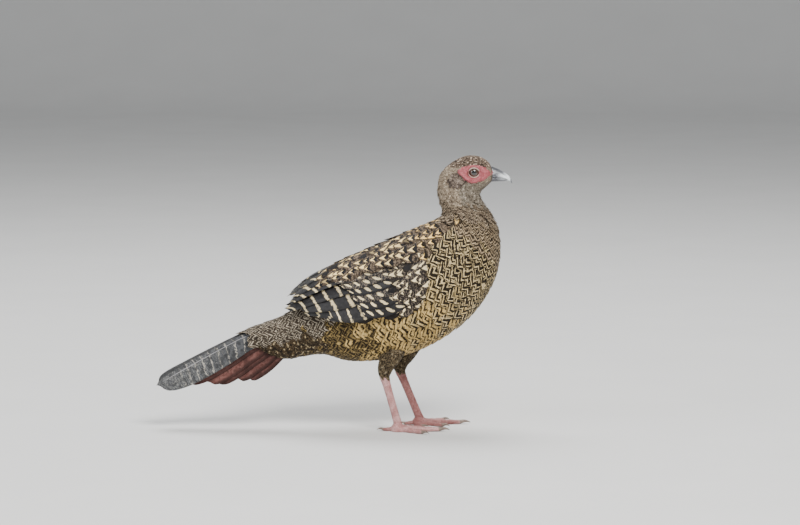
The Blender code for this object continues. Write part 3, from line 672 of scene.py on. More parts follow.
def feather_material(name, ground, other, layers, roughness=0.66, sheen=0.012, shaft=None, barb_tone=0.35,
                     root_shade_strength=0.55, specular=0.13, spacing=0.55, shaft_width=0.22):
    """Plumage: a ground of two colours mottled together, layers of marks over it, then barbs, shaft and
    painted shade that darkens the roots, where the feathers lie under the ones before them."""

    def paint(s, where):
        place = s.use("vane place")
        spot = {key: place[key] for key in SPOT}
        colour = s.mix(s.noise(where, 260.0, 3.0, 0.6).rise(0.35, 0.65), ground, other)
        for kind, tone, strength, numbers, share, web, fade, by_width in layers:
            values = dict(enumerate(numbers, 0 if kind == "speckle" else len(SPOT)))
            if by_width:
                values[len(SPOT)] = place["Half Width"] * numbers[0]
            if kind != "speckle":
                values.update(spot)
            if kind == "edge":
                values["Half Width"] = place["Half Width"]
            mask = s.use(kind, values)["Mask"]
            if share < 1.0:
                mask = mask * (share - place["Second Chance"]).rise(-0.05, 0.05)
            if web:
                mask = mask * (place["Side"] * float(web)).rise(-0.6, 0.4)
            if fade:
                mask = mask * place["Along"].rise(*fade)
            colour = s.mix(mask * strength, colour, tone)
        barbs = s.use("barbs", {**spot, "Spacing": spacing, "Shaft Width": shaft_width})
        colour = s.mix(barbs["Ridge"] * barb_tone, colour, BARB_SHADE, "MULTIPLY")
        colour = s.mix(barbs["Splits"] * 0.55, colour, SPLIT_SHADE, "MULTIPLY")
        if shaft:
            colour = s.mix(barbs["Shaft"] * place["Along"].rise(1.0, 0.75), colour, shaft)
        # Painted shade: each feather is darkened towards its root, as the shade under the feathers that
        # overlap it.
        root = (1.0 - place["Along"].rise(0.3, 0.72)) * root_shade_strength
        colour = s.mix(root, colour, ROOT_SHADE, "MULTIPLY")
        tone = place["Chance"] * 0.32 + 0.86
        colour = s.mix(1.0, colour, s.vector(tone, tone, tone), "MULTIPLY")
        return colour, barbs["Ridge"] * 0.14 + (roughness - 0.06), barbs["Height"]

    make_material(name, paint, roughness, specular, (0.55, 0.0002), Sheen_Weight=sheen, Sheen_Roughness=0.5)


def make_head_plumage(buff, ochre, dark):
    """Feathers of the head, neck and breast."""
    fine = dict(spacing=0.4, barb_tone=0.2)
    feather_material("crown plumage", (0.16, 0.115, 0.085), (0.29, 0.215, 0.16), [
        mark("wedge", (0.030, 0.018, 0.012), 0.9, 4.6, 0.2, 1.3, 0.8, 0.3),
        mark("speckle", (0.024, 0.015, 0.010), 0.94, 400.0, 0.36),
        mark("speckle", (0.78, 0.62, 0.48), 0.86, 400.0, 0.24, 0.4),
    ], root_shade_strength=0.45, **fine)
    feather_material("head plumage", (0.27, 0.21, 0.15), (0.42, 0.34, 0.25), [
        mark("wedge", (0.085, 0.060, 0.042), 0.75, 5.6, 0.3, 0.8, 0.7, 0.25),
        mark("speckle", (0.07, 0.050, 0.035), 0.65, 340.0, 0.16),
        mark("speckle", (0.60, 0.51, 0.39), 0.6, 330.0, 0.2, 0.4),
    ], root_shade_strength=0.45, **fine)
    feather_material("ear plumage", (0.17, 0.13, 0.105), (0.27, 0.215, 0.175), [
        mark("wedge", (0.04, 0.028, 0.022), 0.85, 6.0, 0.1, 0.7, 0.5, 0.2),
        mark("speckle", (0.46, 0.37, 0.30), 0.7, 380.0, 0.2, 0.7),
    ], root_shade_strength=0.6, **fine)
    feather_material("ear rim plumage", (0.060, 0.045, 0.037), (0.12, 0.092, 0.075), [
        mark("speckle", (0.30, 0.25, 0.21), 0.6, 380.0, 0.16, 0.7),
    ], root_shade_strength=0.6, **fine)
    feather_material("throat plumage", (0.185, 0.155, 0.118), (0.30, 0.262, 0.205), [
        mark("wedge", (0.09, 0.068, 0.050), 0.75, 4.0, 0.3, 0.8, 0.9, 0.25),
        mark("speckle", (0.07, 0.052, 0.038), 0.8, 340.0, 0.22),
        mark("speckle", (0.56, 0.49, 0.40), 0.7, 330.0, 0.16, 0.4),
    ], root_shade_strength=0.5, **fine)
    feather_material("neck plumage", (0.24, 0.18, 0.125), (0.42, 0.335, 0.235), [
        mark("speckle", (0.08, 0.055, 0.035), 0.6, 420.0, 0.2),
        mark("chevrons", (0.024, 0.016, 0.010), 0.93, 0.95, 1.0, 0.48, 1.1, 0.08, 0.1, by_width=True),
    ], root_shade_strength=0.4, **fine)
    feather_material("collar plumage", (0.27, 0.200, 0.125), (0.46, 0.355, 0.225), [
        mark("speckle", (0.10, 0.065, 0.03), 0.5, 380.0, 0.2),
        mark("chevrons", (0.017, 0.011, 0.006), 0.96, 0.82, 0.95, 0.58, 1.9, 0.07, 0.14, by_width=True),
    ], root_shade_strength=0.35, barb_tone=0.14)
    feather_material("breast plumage", buff, buff * 1.5, [
        mark("speckle", (0.20, 0.12, 0.05), 0.5, 330.0, 0.2),
        mark("chevrons", dark, 0.99, 0.76, 0.95, 0.70, 3.8, 0.05, 0.16, by_width=True),
        mark("speckle", buff * 1.4, 0.8, 170.0, 0.09, 0.6),
        mark("speckle", dark, 0.75, 190.0, 0.2, 0.8),
    ], root_shade_strength=0.3, barb_tone=0.12)
    feather_material("lower breast plumage", (buff + ochre) / 2, (buff + ochre) * 0.72, [
        mark("chevrons", dark, 0.98, 0.78, 0.9, 0.55, 4.6, 0.06, 0.14, by_width=True),
        mark("speckle", dark, 0.7, 190.0, 0.18, 0.8),
    ], root_shade_strength=0.35, barb_tone=0.13)


def make_body_plumage(ochre, dark, warm):
    """Feathers of the flanks, belly, rump, back and thighs."""
    feather_material("flank plumage", ochre, ochre * 1.55, [
        mark("chevrons", dark, 0.98, 7.0, 0.5, 0.44, 6.6, 0.06, 0.12),
        mark("speckle", ochre * 1.2, 0.8, 150.0, 0.2, 0.2),
        mark("speckle", (0.06, 0.035, 0.012), 0.7, 210.0, 0.14),
    ], root_shade_strength=0.4, barb_tone=0.15)
    feather_material("rear flank plumage", ochre * 0.25, ochre * 0.68, [
        mark("chevrons", dark, 0.95, 6.4, 0.9, 0.56, 5.0, 0.08, 0.12),
        mark("speckle", dark, 0.8, 190.0, 0.24),
        mark("speckle", ochre * 1.3, 0.8, 210.0, 0.12, 0.3),
    ], root_shade_strength=0.4, barb_tone=0.15)
    feather_material("belly plumage", (0.050, 0.034, 0.018), (0.13, 0.088, 0.045), [
        mark("wavy lines", dark, 0.96, 4.4, 3.6, 0.55, 0.25),
        mark("blotches", (0.46, 0.36, 0.21), 0.85, 8.0, 0.1, 0.9, 1.5, 1.6, 0.0, 3.6, share=0.8),
        mark("speckle", (0.40, 0.32, 0.19), 0.85, 210.0, 0.13, 0.3),
        mark("speckle", dark, 0.85, 190.0, 0.34),
    ], root_shade_strength=0.5)
    feather_material("rump plumage", (0.026, 0.019, 0.013), (0.055, 0.041, 0.028), [
        mark("chevrons", (0.50, 0.43, 0.33), 0.9, 6.8, 1.2, 0.23, 7.5, 0.10),
        mark("speckle", (0.014, 0.010, 0.007), 0.85, 260.0, 0.2),
    ], root_shade_strength=0.4, barb_tone=0.15)
    feather_material("mantle plumage", (0.040, 0.027, 0.017), (0.10, 0.070, 0.045), [
        mark("wavy lines", (0.30, 0.225, 0.155), 0.8, 3.2, 3.0, 0.30, 0.25),
        mark("speckle", dark, 0.88, 300.0, 0.28),
        mark("wedge", dark, 0.98, 12.2, 0.2, 6.6, 2.6, 0.4),
        mark("wedge", warm, 0.99, 9.8, 1.6, 4.0, 2.8, 0.25, 0.0, 0.5, 0.6),
    ], root_shade_strength=0.3, barb_tone=0.15)
    feather_material("thigh plumage", (0.11, 0.078, 0.042), (0.25, 0.19, 0.11), [
        mark("wavy lines", dark, 0.92, 3.4, 3.6, 0.5, 0.3),
        mark("speckle", (0.50, 0.41, 0.27), 0.75, 300.0, 0.2),
    ], root_shade_strength=0.45)


def make_wing_and_tail_plumage(cream, ink, straw):
    """Feathers of the shoulders, wings and tail."""
    feather_material("shoulder plumage", (0.036, 0.025, 0.017), (0.10, 0.072, 0.048), [
        mark("wavy lines", (0.28, 0.21, 0.15), 0.8, 3.4, 3.0, 0.36, 0.25, share=0.9),
        mark("speckle", ink, 0.9, 280.0, 0.32),
        mark("wedge", ink, 0.98, 14.4, 0.3, 7.0, 3.0, 0.4),
        mark("wedge", straw, 0.99, 11.0, 1.8, 4.2, 3.2, 0.25, 1.0, 0.6, 0.6, share=0.93),
    ], root_shade_strength=0.3, barb_tone=0.15)
    feather_material("wing covert plumage", (0.012, 0.010, 0.009), (0.045, 0.035, 0.027), [
        mark("wavy lines", (0.27, 0.215, 0.165), 0.8, 3.4, 3.2, 0.34, 0.25, share=0.8),
        mark("speckle", ink, 0.9, 260.0, 0.34),
        mark("wedge", ink, 0.95, 9.2, 0.5, 4.4, 2.6, 0.4, 0.8),
        mark("wedge", cream, 0.98, 8.4, 1.4, 3.1, 3.4, 0.25, 0.9, 0.7, 0.5, share=0.84),
        mark("blotches", cream, 0.97, 12.0, 0.0, 1.5, 2.1, -4.0, 0.0, 3.4, share=0.55),
    ], root_shade_strength=0.3, roughness=0.5, barb_tone=0.15)
    feather_material("large covert", ink, ink * 2.2, [
        mark("wavy lines", (0.29, 0.23, 0.17), 0.75, 3.4, 3.2, 0.3, 0.25, share=0.7),
        mark("speckle", ink, 0.9, 240.0, 0.36),
        mark("blotches", cream, 0.97, 10.6, 0.36, 2.1, 3.6, 4.0, 0.9, 5.2),
        mark("blotches", cream, 0.9, 10.6, 0.6, 1.5, 2.4, -3.6, 0.7, 5.2, share=0.8),
        mark("speckle", ink, 0.85, 420.0, 0.06, 0.5),
    ], root_shade_strength=0.3, roughness=0.45, specular=0.3, barb_tone=0.2, spacing=0.7)
    feather_material("flight feather", ink, ink * 2.1, [
        mark("chevrons", cream, 0.97, 16.0, 0.42, 0.19, 5.5, 0.03, 0.15, web=1),
        mark("chevrons", cream * 0.8, 0.85, 16.0, -0.2, 0.14, 5.5, 0.03, 0.15, web=-1),
        mark("speckle", ink, 0.85, 330.0, 0.14),
    ], root_shade_strength=0.3, roughness=0.40, specular=0.42, shaft=(0.22, 0.20, 0.20), barb_tone=0.3, sheen=0.03,
        spacing=0.8, shaft_width=0.4)
    feather_material("tail centre feather", (0.048, 0.051, 0.058), (0.095, 0.100, 0.109), [
        mark("wavy lines", (0.40, 0.39, 0.36), 0.55, 3.6, 3.8, 0.22, 0.2, fade=(0.1, 0.75)),
        mark("chevrons", (0.66, 0.61, 0.52), 0.8, 13.0, -0.3, 0.10, 12.0, 0.03, 0.2, fade=(0.86, 0.66)),
        mark("speckle", (0.024, 0.025, 0.028), 0.72, 200.0, 0.36, 0.9),
        mark("edge", (0.014, 0.014, 0.015), 0.8, 0.34, web=-1),
    ], root_shade_strength=0.2, roughness=0.46, specular=0.4, shaft=(0.36, 0.35, 0.36), barb_tone=0.3, spacing=0.9,
        shaft_width=0.5)
    feather_material("tail outer feather", (0.095, 0.036, 0.030), (0.18, 0.082, 0.070), [
        mark("speckle", (0.035, 0.014, 0.011), 0.7, 130.0, 0.26),
        mark("edge", (0.42, 0.22, 0.20), 0.8, 0.62, web=-1),
        mark("edge", (0.030, 0.014, 0.012), 0.8, 0.72, web=1),
    ], root_shade_strength=0.2, roughness=0.5, shaft=(0.26, 0.14, 0.12), barb_tone=0.35, spacing=0.9, shaft_width=0.5)


def down_paint(s, where):
    """Soft under-plumage on the skin: brown with fine short fibres."""
    fibre = s.noise(where, 1400.0, 4.0, 0.7)
    colour = s.mix(s.noise(where, 90.0, 2.0, 0.5).rise(0.35, 0.65), (0.06, 0.046, 0.032), (0.12, 0.09, 0.062))
    return s.mix(fibre, colour, (0.03, 0.024, 0.018)), None, fibre


def face_paint(face):
    """Crimson skin of small rounded bumps with darker furrows and a paler bloom."""

    def paint(s, where):
        bumps = s.use("scales", {"Vector": where, "Scale": 760.0, "Seam": 0.3})
        colour = s.mix(s.noise(where, 260.0, 4.0, 0.6).rise(0.34, 0.66), face, face * (1.6, 2.9, 2.7))
        colour = s.mix(bumps["Chance"] * 0.3, colour, (0.70, 0.30, 0.30))
        colour = s.mix(bumps["Seams"] * 0.6, colour, (0.15, 0.022, 0.030))
        return colour, bumps["Chance"] * 0.16 + 0.44, bumps["Cells"]

    return paint


def lid_paint(s, where):
    """Wrinkled pale brown skin."""
    wrinkle = s.noise(where, 1500.0, 3.0, 0.6)
    return s.mix(wrinkle.rise(0.4, 0.6), (0.34, 0.24, 0.19), (0.50, 0.40, 0.33)), None, wrinkle


def eye_paint(s, where):
    """Dark hazel iris round a black pupil: both are rings by the distance from the eye's axis."""
    x, _, z = s.parts(where)
    dx, dz = (x - EYE_X * MM) * 1000.0, (z - EYE_Z * MM) * 1000.0
    reach = (dx * dx + dz * dz).calc("SQRT")
    streak = s.noise(s.vector(dz.calc("ARCTAN2", dx) * 6.0, reach * 0.5), 2.0, 3.0, 0.6)
    iris = s.mix(streak.rise(0.35, 0.65), (0.035, 0.018, 0.010), (0.085, 0.048, 0.028))
    iris = s.mix(reach.rise(3.9, 4.9), iris, (0.015, 0.008, 0.006))
    return s.mix(reach.rise(2.5, 2.9), (0.003, 0.003, 0.003), iris), None, None


def bill_paint(horn):
    """Horn: slate grey at the base, pale ahead, with a dark ridge and point, worn streaks, and painted shade
    that darkens the lower part of the bill behind the point.
    """

    def paint(s, where):
        x, _, z = s.parts(where)
        drawn = s.add("ShaderNodeVectorMath", {0: where, 1: (0.25, 1.0, 1.6)}, operation="MULTIPLY")[0]
        streak = s.noise(drawn, 1100.0, 3.0, 0.6)
        colour = s.mix(x.rise(0.1870, 0.1985), (0.055, 0.060, 0.072), horn)
        colour = s.mix(streak.rise(0.46, 0.66) * 0.5, colour, (0.92, 0.93, 0.94))
        culmen = (x - 0.1856) * -0.56 + 0.2992
        ridge = (z - culmen + streak * 0.002).rise(0.0, 0.0022) * (1.0 - x.rise(0.194, 0.202))
        # Painted shade: the lower part of the bill, behind its point, is darkened as the shade under the
        # upper half.
        painted_low_shade = (1.0 - z.rise(0.2868, 0.2905)) * (1.0 - x.rise(0.198, 0.203))
        colour = s.mix(painted_low_shade * 0.85, colour, (0.075, 0.077, 0.09))
        cloud = s.noise(where, 330.0, 3.0, 0.5).rise(0.52, 0.7)
        colour = s.mix(cloud * 0.4, colour, (0.10, 0.10, 0.12))
        tip = (x + streak * 0.003).rise(0.2040, 0.2068)
        colour = s.mix(ridge.calc("MAXIMUM", tip) * 0.85, colour, (0.035, 0.036, 0.045))
        return colour, streak * 0.22 + 0.22, streak

    return paint


def leg_paint(leg):
    """Dull red horny scales: darker seams, some scales paler at random, and painted light that makes the
    outer side of each leg paler, as the side the light falls on.
    """

    def paint(s, where):
        cells = s.use("scales", {"Vector": where, "Scale": 620.0, "Seam": 0.12})
        large = s.noise(where, 120.0, 3.0, 0.55).rise(0.35, 0.7)
        colour = s.mix(large, (0.20, 0.055, 0.050), (0.34, 0.13, 0.115))
        # Painted light: the outer side of each leg is turned towards the pale leg colour, as a lit side.
        outside = abs(s.parts(where)[1]).rise(0.0262, 0.0295)
        colour = s.mix(outside * 0.9, colour, s.mix(large, leg, leg * (1.45, 1.95, 1.95)))
        colour = s.mix(cells["Chance"] * 0.3, colour, (0.56, 0.33, 0.31))
        colour = s.mix(cells["Seams"] * 0.65, colour, (0.09, 0.03, 0.026))
        return colour, cells["Chance"] * 0.18 + 0.34, cells["Cells"] * 0.4 - cells["Seams"]

    return paint


def claw_paint(s, where):
    """Brown horn with faint streaks."""
    streak = s.noise(where, 900.0, 3.0, 0.6)
    colour = s.mix(streak.rise(0.35, 0.65), (0.10, 0.065, 0.05), (0.27, 0.20, 0.16))
    return colour, streak * 0.2 + 0.26, streak


def floor_paint(s, where):
    """Even pale grey."""
    return s.mix(s.noise(where, 6.0, 4.0, 0.5), (0.70, 0.70, 0.69), (0.76, 0.76, 0.75)), None, None


def make_materials(tones):
    """All the groups and materials, in the colours of the settings."""
    make_groups()
    buff, cream, ochre, dark, ink, face, horn, leg = (np.array(getattr(tones, key)) for key in (
        "buff", "cream", "ochre", "dark", "ink", "face", "horn", "leg"))
    make_head_plumage(buff, ochre, dark)
    make_body_plumage(ochre, dark, cream * (1, 0.80, 0.48))
    make_wing_and_tail_plumage(cream, ink, cream * (1, 0.90, 0.68))
    make_material("under plumage", down_paint, 0.85, 0.1, (0.7, 0.0006), Sheen_Weight=0.2)
    make_material("bare face skin", face_paint(face), 0.52, 0.4, (0.6, 0.0004), Subsurface_Weight=0.12,
                  Subsurface_Radius=(0.002, 0.0007, 0.0005))
    make_material("eyelid skin", lid_paint, 0.5, 0.35)
    make_material("eye", eye_paint, 0.04, 0.6, Coat_Weight=1.0, Coat_Roughness=0.02)
    make_material("bill horn", bill_paint(horn), 0.32, 0.5, (0.25, 0.0003))
    make_material("leg scales", leg_paint(leg), 0.42, 0.45, (0.5, 0.0003))
    make_material("claw horn", claw_paint, 0.35, 0.45, (0.3, 0.0002))
    make_material("pale floor", floor_paint, 0.75, 0.2)


# The coat

# Depth of the roots under the surface, distance of the roots, length and width of the feathers and how far
# their tips stand up, all at these rows of the body.
COAT_ROWS = (2, 5, 8, 11, 13, 15, 17, 19, 21, 24, 28)
COAT_DEPTH = (2.4, 2.4, 2.5, 2.5, 2.4, 2.2, 1.9, 1.4, 1.1, 0.9, 0.6)
COAT_SPACING = (8.0, 8.0, 9.0, 9.8, 9.6, 8.2, 6.0, 3.4, 2.2, 1.6, 1.25)
COAT_LENGTH = (33, 30, 25, 25, 24, 20, 14.5, 10.6, 8.2, 5.2, 3.2)
COAT_WIDTH = (15, 15, 17, 20, 19.5, 16.0, 11.0, 4.9, 2.7, 2.2, 1.8)
COAT_LIFT = (0.3, 0.3, 0.1, 0.15, 0.15, 0.2, 0.5, 1.2, 1.2, 0.12, 0.0)
# Reach of the bare face from the eye, back, front, up and down, and how square its outline is.
FACE_BACK, FACE_FRONT, FACE_UP, FACE_DOWN, FACE_POWER = 18.4, 20.5, 8.8, 12.2, 1.6
# Slope by which the rear of the bare face rises, and how far behind the eye it starts.
FACE_SLOPE, FACE_SLOPE_START = 0.19, 5.0
# Centre of the ear's feathers, and half the length and height of their patch.
EAR_X, EAR_Z, EAR_LONG, EAR_TALL = 145.5, 293.0, 9.4, 7.6
# Borders of the plumage, in rows from the tail's root and in turns from the middle of the back.
BELLY_START, REAR_FLANK_START, MANTLE_START, FLANK_START = 2.5, 8.1, 8.4, 9.7
SIDE_BREAST_START, BREAST_START, LOWER_BREAST_END = 11.5, 12.2, 12.7
COLLAR_START, NECK_START, HEAD_START = 16.1, 17.9, 19.5
BREAST_TURN, FLANK_TURN, BELLY_TURN, SIDE_END = 0.95, 1.25, 1.75, 2.0
# What the folded wing hides of the body: the x of its rear and front, its upper turn of the shell, and the
# lower one at some places of x.
HIDDEN_REAR, HIDDEN_FRONT, HIDDEN_TOP = -38, 108, 0.34
HIDDEN_LOW = ((-45, -20, 0, 20, 60, 110), (0.80, 1.05, 1.28, 1.42, 1.56, 1.60))
# How deep the eyes' hollows in the skin are, and the reach of their floor and rim.
HOLLOW_DEPTH, HOLLOW_FLOOR, HOLLOW_RIM = 4.5, 4.6, 7.6
THIGH_FORM_SHARE = 0.86
UNDER_PLUMAGE = "under plumage"


def face_rise(x):
    """How far the rear corner of the bare skin lies above the eye's level."""
    return FACE_SLOPE * np.maximum(EYE_X - FACE_SLOPE_START - x, 0)


def face_distance(dx, dz):
    """((|dx| / reach) ** 1.6 + (|dz| / reach) ** 1.6) ** (1 / 1.6): 1 at the edge of the bare skin."""
    along = np.where(dx > 0, FACE_FRONT, FACE_BACK)
    tall = np.where(dz > 0, FACE_UP, FACE_DOWN)
    return (np.abs(dx / along) ** FACE_POWER + np.abs(dz / tall) ** FACE_POWER) ** (1 / FACE_POWER)


def in_face(point):
    x, z = point[..., 0], point[..., 2]
    return face_distance(x - EYE_X, z - EYE_Z - face_rise(x))


def by_row(values, row):
    return np.interp(row, COAT_ROWS, values)


def column_turns(columns):
    return (np.arange(columns) + 0.5) * FULL_TURN / columns


def lay_roots(surface, turns, low, high, spacing, seed):
    """Roots of feathers in columns of one turn each. Along a column the count of feathers is the integral of
    the distance over the spacing, so feather n sits where the count reaches n, every other column half a step
    on. Returns the place, turn and column of each root, and the tables of place and distance."""
    samples = 900
    chance = np.random.default_rng(seed)
    places = np.linspace(low, high, samples)
    points = surface(places[:, None], turns[None, :])
    moves = np.linalg.norm(np.diff(points, axis=0), axis=-1)
    run = np.vstack([np.zeros(len(turns)), np.cumsum(moves, 0)])
    middle = spacing((places[1:] + places[:-1]) / 2)[:, None]
    count = np.vstack([np.zeros(len(turns)), np.cumsum(moves / middle, 0)])
    found = []
    for column, turn in enumerate(turns):
        number = np.arange(0.2 + 0.5 * (column % 2), count[-1, column] - 0.1)
        number = number + chance.uniform(-0.12, 0.12, len(number))
        root = np.interp(number, count[:, column], places)
        found.append(np.stack([root, np.full(len(root), turn), np.full(len(root), column)], 1))
    return np.concatenate(found), places, run


def coat_vanes(surface, roots, places, run, length, width, low_end, high_end, plan, chance):
    """Places and heights of the points of feathers on a surface: along = distance from the root back down the
    column, across = turn + share * half the width / the size of one turn, height = rise from root to tip less
    a dome across."""
    rows, columns = plan
    t = vane_rows(rows, 1.5)
    outline = vane_outline(t, 0.45, 0.5, 0.10, 2.0)
    share = np.linspace(-1, 1, columns)
    down = t[:, None]
    count = len(roots)
    place = np.empty((count, rows))
    ragged = chance.uniform(-1, 1, (count, rows, columns)) * 0.022 * down**2
    for column in np.unique(roots[:, 2]).astype(int):
        mine = roots[:, 2] == column
        start = np.interp(roots[mine, 0], places, run[:, column])
        run_here = start[:, None] - t * length[mine, None]
        past_end = np.minimum(run_here, 0) * (places[1] - places[0]) / max(run[1, column], 1e-6)
        place[mine] = np.interp(run_here, run[:, column], places) + past_end
    turn = roots[:, 1] + chance.uniform(-0.25, 0.25, count) * width / 60
    rate = turn_worth(surface, place, turn[:, None], 0.01)

    def each(values):
        return values[:, None, None]

    yaw = each(chance.normal(0, 0.08, count)) * down * each(length)
    sideways = share * outline[:, None] * each(width / 2) + yaw
    b = each(turn) + sideways / np.maximum(rate, 4.0)[..., None]
    bow = (1 - np.abs(share)) ** 1.3 * 0.5 * down**3
    a = place[:, :, None] + np.gradient(place, axis=1)[:, :, None] * (bow + ragged * 12)
    rise = each(low_end) + each(high_end - low_end) * down**0.8
    dome = share**2 * outline[:, None] * each(width * 0.035)
    return a, b, rise - dome + each(chance.uniform(-0.07, 0.07, count)) * down


def under_wing(point):
    """True where the folded wing hides the body."""
    x = point[..., 0]
    half, middle, high = wing_slice(x)
    turn = np.abs(np.arctan2(point[..., 1] / half, (point[..., 2] - middle) / high))
    lower = np.interp(x, *HIDDEN_LOW)
    return (turn > HIDDEN_TOP) & (turn < lower) & (x > HIDDEN_REAR) & (x < HIDDEN_FRONT)


def body_region(row, turn, point, chance):
    """The kind of plumage at each root, with borders that run into each other."""
    count = len(row)
    row = row + chance.normal(0, 0.33, count)
    low = np.abs(np.angle(np.exp(1j * turn))) + chance.normal(0, 0.07, count)
    x, z = point[:, 0], point[:, 2]
    kind = np.full(count, "rump plumage", dtype=object)
    kind[(low > BELLY_TURN) & (row > BELLY_START)] = "belly plumage"
    blend = row + chance.normal(0, 0.55, count)
    kind[(blend > REAR_FLANK_START) & (low > FLANK_TURN)] = "rear flank plumage"
    kind[(blend > FLANK_START) & (low > FLANK_TURN)] = "flank plumage"
    kind[(blend > BREAST_START) & (low > BREAST_TURN)] = "breast plumage"
    kind[(blend > SIDE_BREAST_START) & (low > BREAST_TURN) & (low < SIDE_END)] = "breast plumage"
    breast_row = blend + chance.normal(0, 0.35, count)
    kind[(kind == "breast plumage") & (breast_row < LOWER_BREAST_END)] = "lower breast plumage"
    kind[(row > COLLAR_START) & (low > BREAST_TURN)] = "collar plumage"
    kind[(row > MANTLE_START) & (low <= BREAST_TURN)] = "mantle plumage"
    kind[(row > NECK_START - 1.6 * (low < 0.8))] = "neck plumage"
    head = row > HEAD_START
    kind[head] = "head plumage"
    kind[head & (z > 303.5 + 0.14 * (155 - x)) & (x > 128)] = "crown plumage"
    kind[head & (x > 146 + chance.normal(0, 1.5, count)) & (z < 287.5)] = "throat plumage"
    ear = np.hypot((x - EAR_X) / EAR_LONG, (z - EAR_Z) / EAR_TALL) + chance.normal(0, 0.03, count)
    aside = head & (np.abs(point[:, 1]) > 6)
    kind[aside & (ear < 1.24) & (z < 294.0)] = "ear rim plumage"
    kind[aside & (ear < 0.90)] = "ear plumage"
    return kind


def make_skin(rings, around):
    """One skin under all the plumage: the body's surface less the coat's depth, hollowed at the eyes, joined
    with both thighs."""
    row, turn = ring_grid(TAIL_ROW, LAST_ROW, rings, around)
    depth = by_row(COAT_DEPTH, row) + 0.25
    normal = normals_of(mantle_surface, np.clip(row, TAIL_ROW + 0.02, LAST_ROW - 0.02), turn, 0.02, 0.02)
    skin = mantle_surface(row, turn)
    outward = np.sum(normal * (skin - skin.mean(1, keepdims=True)))
    skin = skin - normal * np.sign(outward) * depth[..., None]
    reach = np.hypot(skin[..., 0] - EYE_X, skin[..., 2] - EYE_Z)
    skin[..., 1] -= np.sign(skin[..., 1]) * HOLLOW_DEPTH * (1 - step(reach, HOLLOW_FLOOR, HOLLOW_RIM))
    nodes = ["torso", "neck", "head", "thigh_left", "thigh_right"]
    body = make_closed_piece("skin", *tubes([skin]), UNDER_PLUMAGE, "plumage", nodes)
    forms = bpy.data.collections.new("thigh forms")
    bpy.context.scene.collection.children.link(forms)
    for which in SIDES:
        limb = thigh_surface(which)(*ring_grid(0, 4, 40, 40))
        middle = limb.mean(1, keepdims=True)
        part = link_mesh("thigh form", *tubes([middle + (limb - middle) * THIGH_FORM_SHARE]))
        forms.objects.link(part)
        outward_faces(part.data)
    join = body.modifiers.new("thighs", "BOOLEAN")
    join.operation, join.operand_type, join.collection, join.solver = "UNION", "COLLECTION", forms, "MANIFOLD"
    bake_modifiers(body, UNDER_PLUMAGE).shade_smooth()
    for part in list(forms.objects):
        bpy.data.objects.remove(part)
    bpy.data.collections.remove(forms)


def make_body_coat(kinds, columns, plan, seed, slot, pieces=1):
    """Feathers of the given kinds over the body, one mesh for each kind and piece."""
    turns = column_turns(columns)
    roots, places, run = lay_roots(mantle_surface, turns, TAIL_ROW, LAST_ROW - 0.15,
                                   lambda row: by_row(COAT_SPACING, row), seed)
    chance = np.random.default_rng(seed + 7)
    row, turn, column = roots.T
    point = mantle_surface(row, turn)
    kind = body_region(row, turn, point, chance)
    keep = (row >= COVERT_ROW) & (row < LAST_ROW) & ~under_wing(point) & np.isin(kind, kinds)
    gap = turn_worth(mantle_surface, row, turn, 0.05) * (FULL_TURN / columns)
    keep &= ~((gap < by_row(COAT_WIDTH, row) * 0.5 * 0.62) & (column % 2 == 1))
    roots, kind, point, row = roots[keep], kind[keep], point[keep], row[keep]
    count = len(row)
    length = by_row(COAT_LENGTH, row) * chance.uniform(0.92, 1.08, count)
    width = by_row(COAT_WIDTH, row) * chance.uniform(0.93, 1.07, count)
    depth = by_row(COAT_DEPTH, row)
    lift = by_row(COAT_LIFT, row) * chance.uniform(0.1, 1.8, count)
    a, b, height = coat_vanes(mantle_surface, roots, places, run, length, width, -depth, lift, plan, chance)
    centre = plan[1] // 2
    shaft = mantle_surface(a[:, :, centre], b[:, :, centre])
    nearest = in_face(shaft[:, (0, plan[0] // 2, -1)]).min(1)
    bare = (row > 20) & (nearest < 0.99 - 0.22 * chance.random(count))
    ahead = (point[:, 0] > 183.5) & (row > 22)
    tucked = (row > 8) & (kind != "mantle plumage") & under_wing(shaft[:, -1] + (8.0, 0, 0))
    stay = ~bare & ~ahead & ~tucked
    for one in kinds:
        for piece in range(pieces):
            chosen = stay & (kind == one) & (np.arange(count) % pieces == piece)
            if not chosen.any():
                continue
            sizes = vane_sizes(length[chosen], width[chosen], chance)
            label = "coat_" + one.replace(" ", "_") + (f"_{piece + 1}" if pieces > 1 else "")
            build_vanes(label, mantle_surface, a[chosen], b[chosen], height[chosen], (0.02, 0.01), 0.16,
                        sizes, one, slot)


def make_thigh_coat(which, seed):
    """Small feathers down the thigh. Past the heel, one step of place is worth some millimetres of shank."""
    columns, past_heel = 22, 9.0
    limb = thigh_surface(which)
    way = leg_point(which, 1.0) - leg_point(which, 0.0)
    way = way / np.linalg.norm(way)

    def surface(place, turn):
        place, turn = together(place, turn)
        return limb(np.clip(4 - place, 0, 4), turn) + np.maximum(-place, 0)[..., None] * past_heel * way

    def by_place(values, place):
        return np.interp(place, (0, 1, 3), values)

    roots, places, run = lay_roots(surface, column_turns(columns), 0.3, 4.0,
                                   lambda place: by_place((3.0, 3.8, 6.0), place), seed)
    chance = np.random.default_rng(seed + 3)
    place = roots[:, 0]
    length = by_place((6.5, 10, 16), place) * chance.uniform(0.7, 1.3, len(roots))
    width = by_place((3.6, 5.6, 9.5), place) * chance.uniform(0.9, 1.1, len(roots))
    low = by_place((-0.7, -1.2, -1.8), place)
    a, b, height = coat_vanes(surface, roots, places, run, length, width, low, 0 * low + 0.1, (8, 5), chance)
    build_vanes(f"thigh_coat_{which}", surface, a, b, height, (0.02, 0.02), 0.15,
                vane_sizes(length, width, chance), "thigh plumage", "plumage")


# The wings

WING_SLOT, WING_STEPS = "wing_plumage", (0.2, 0.005)
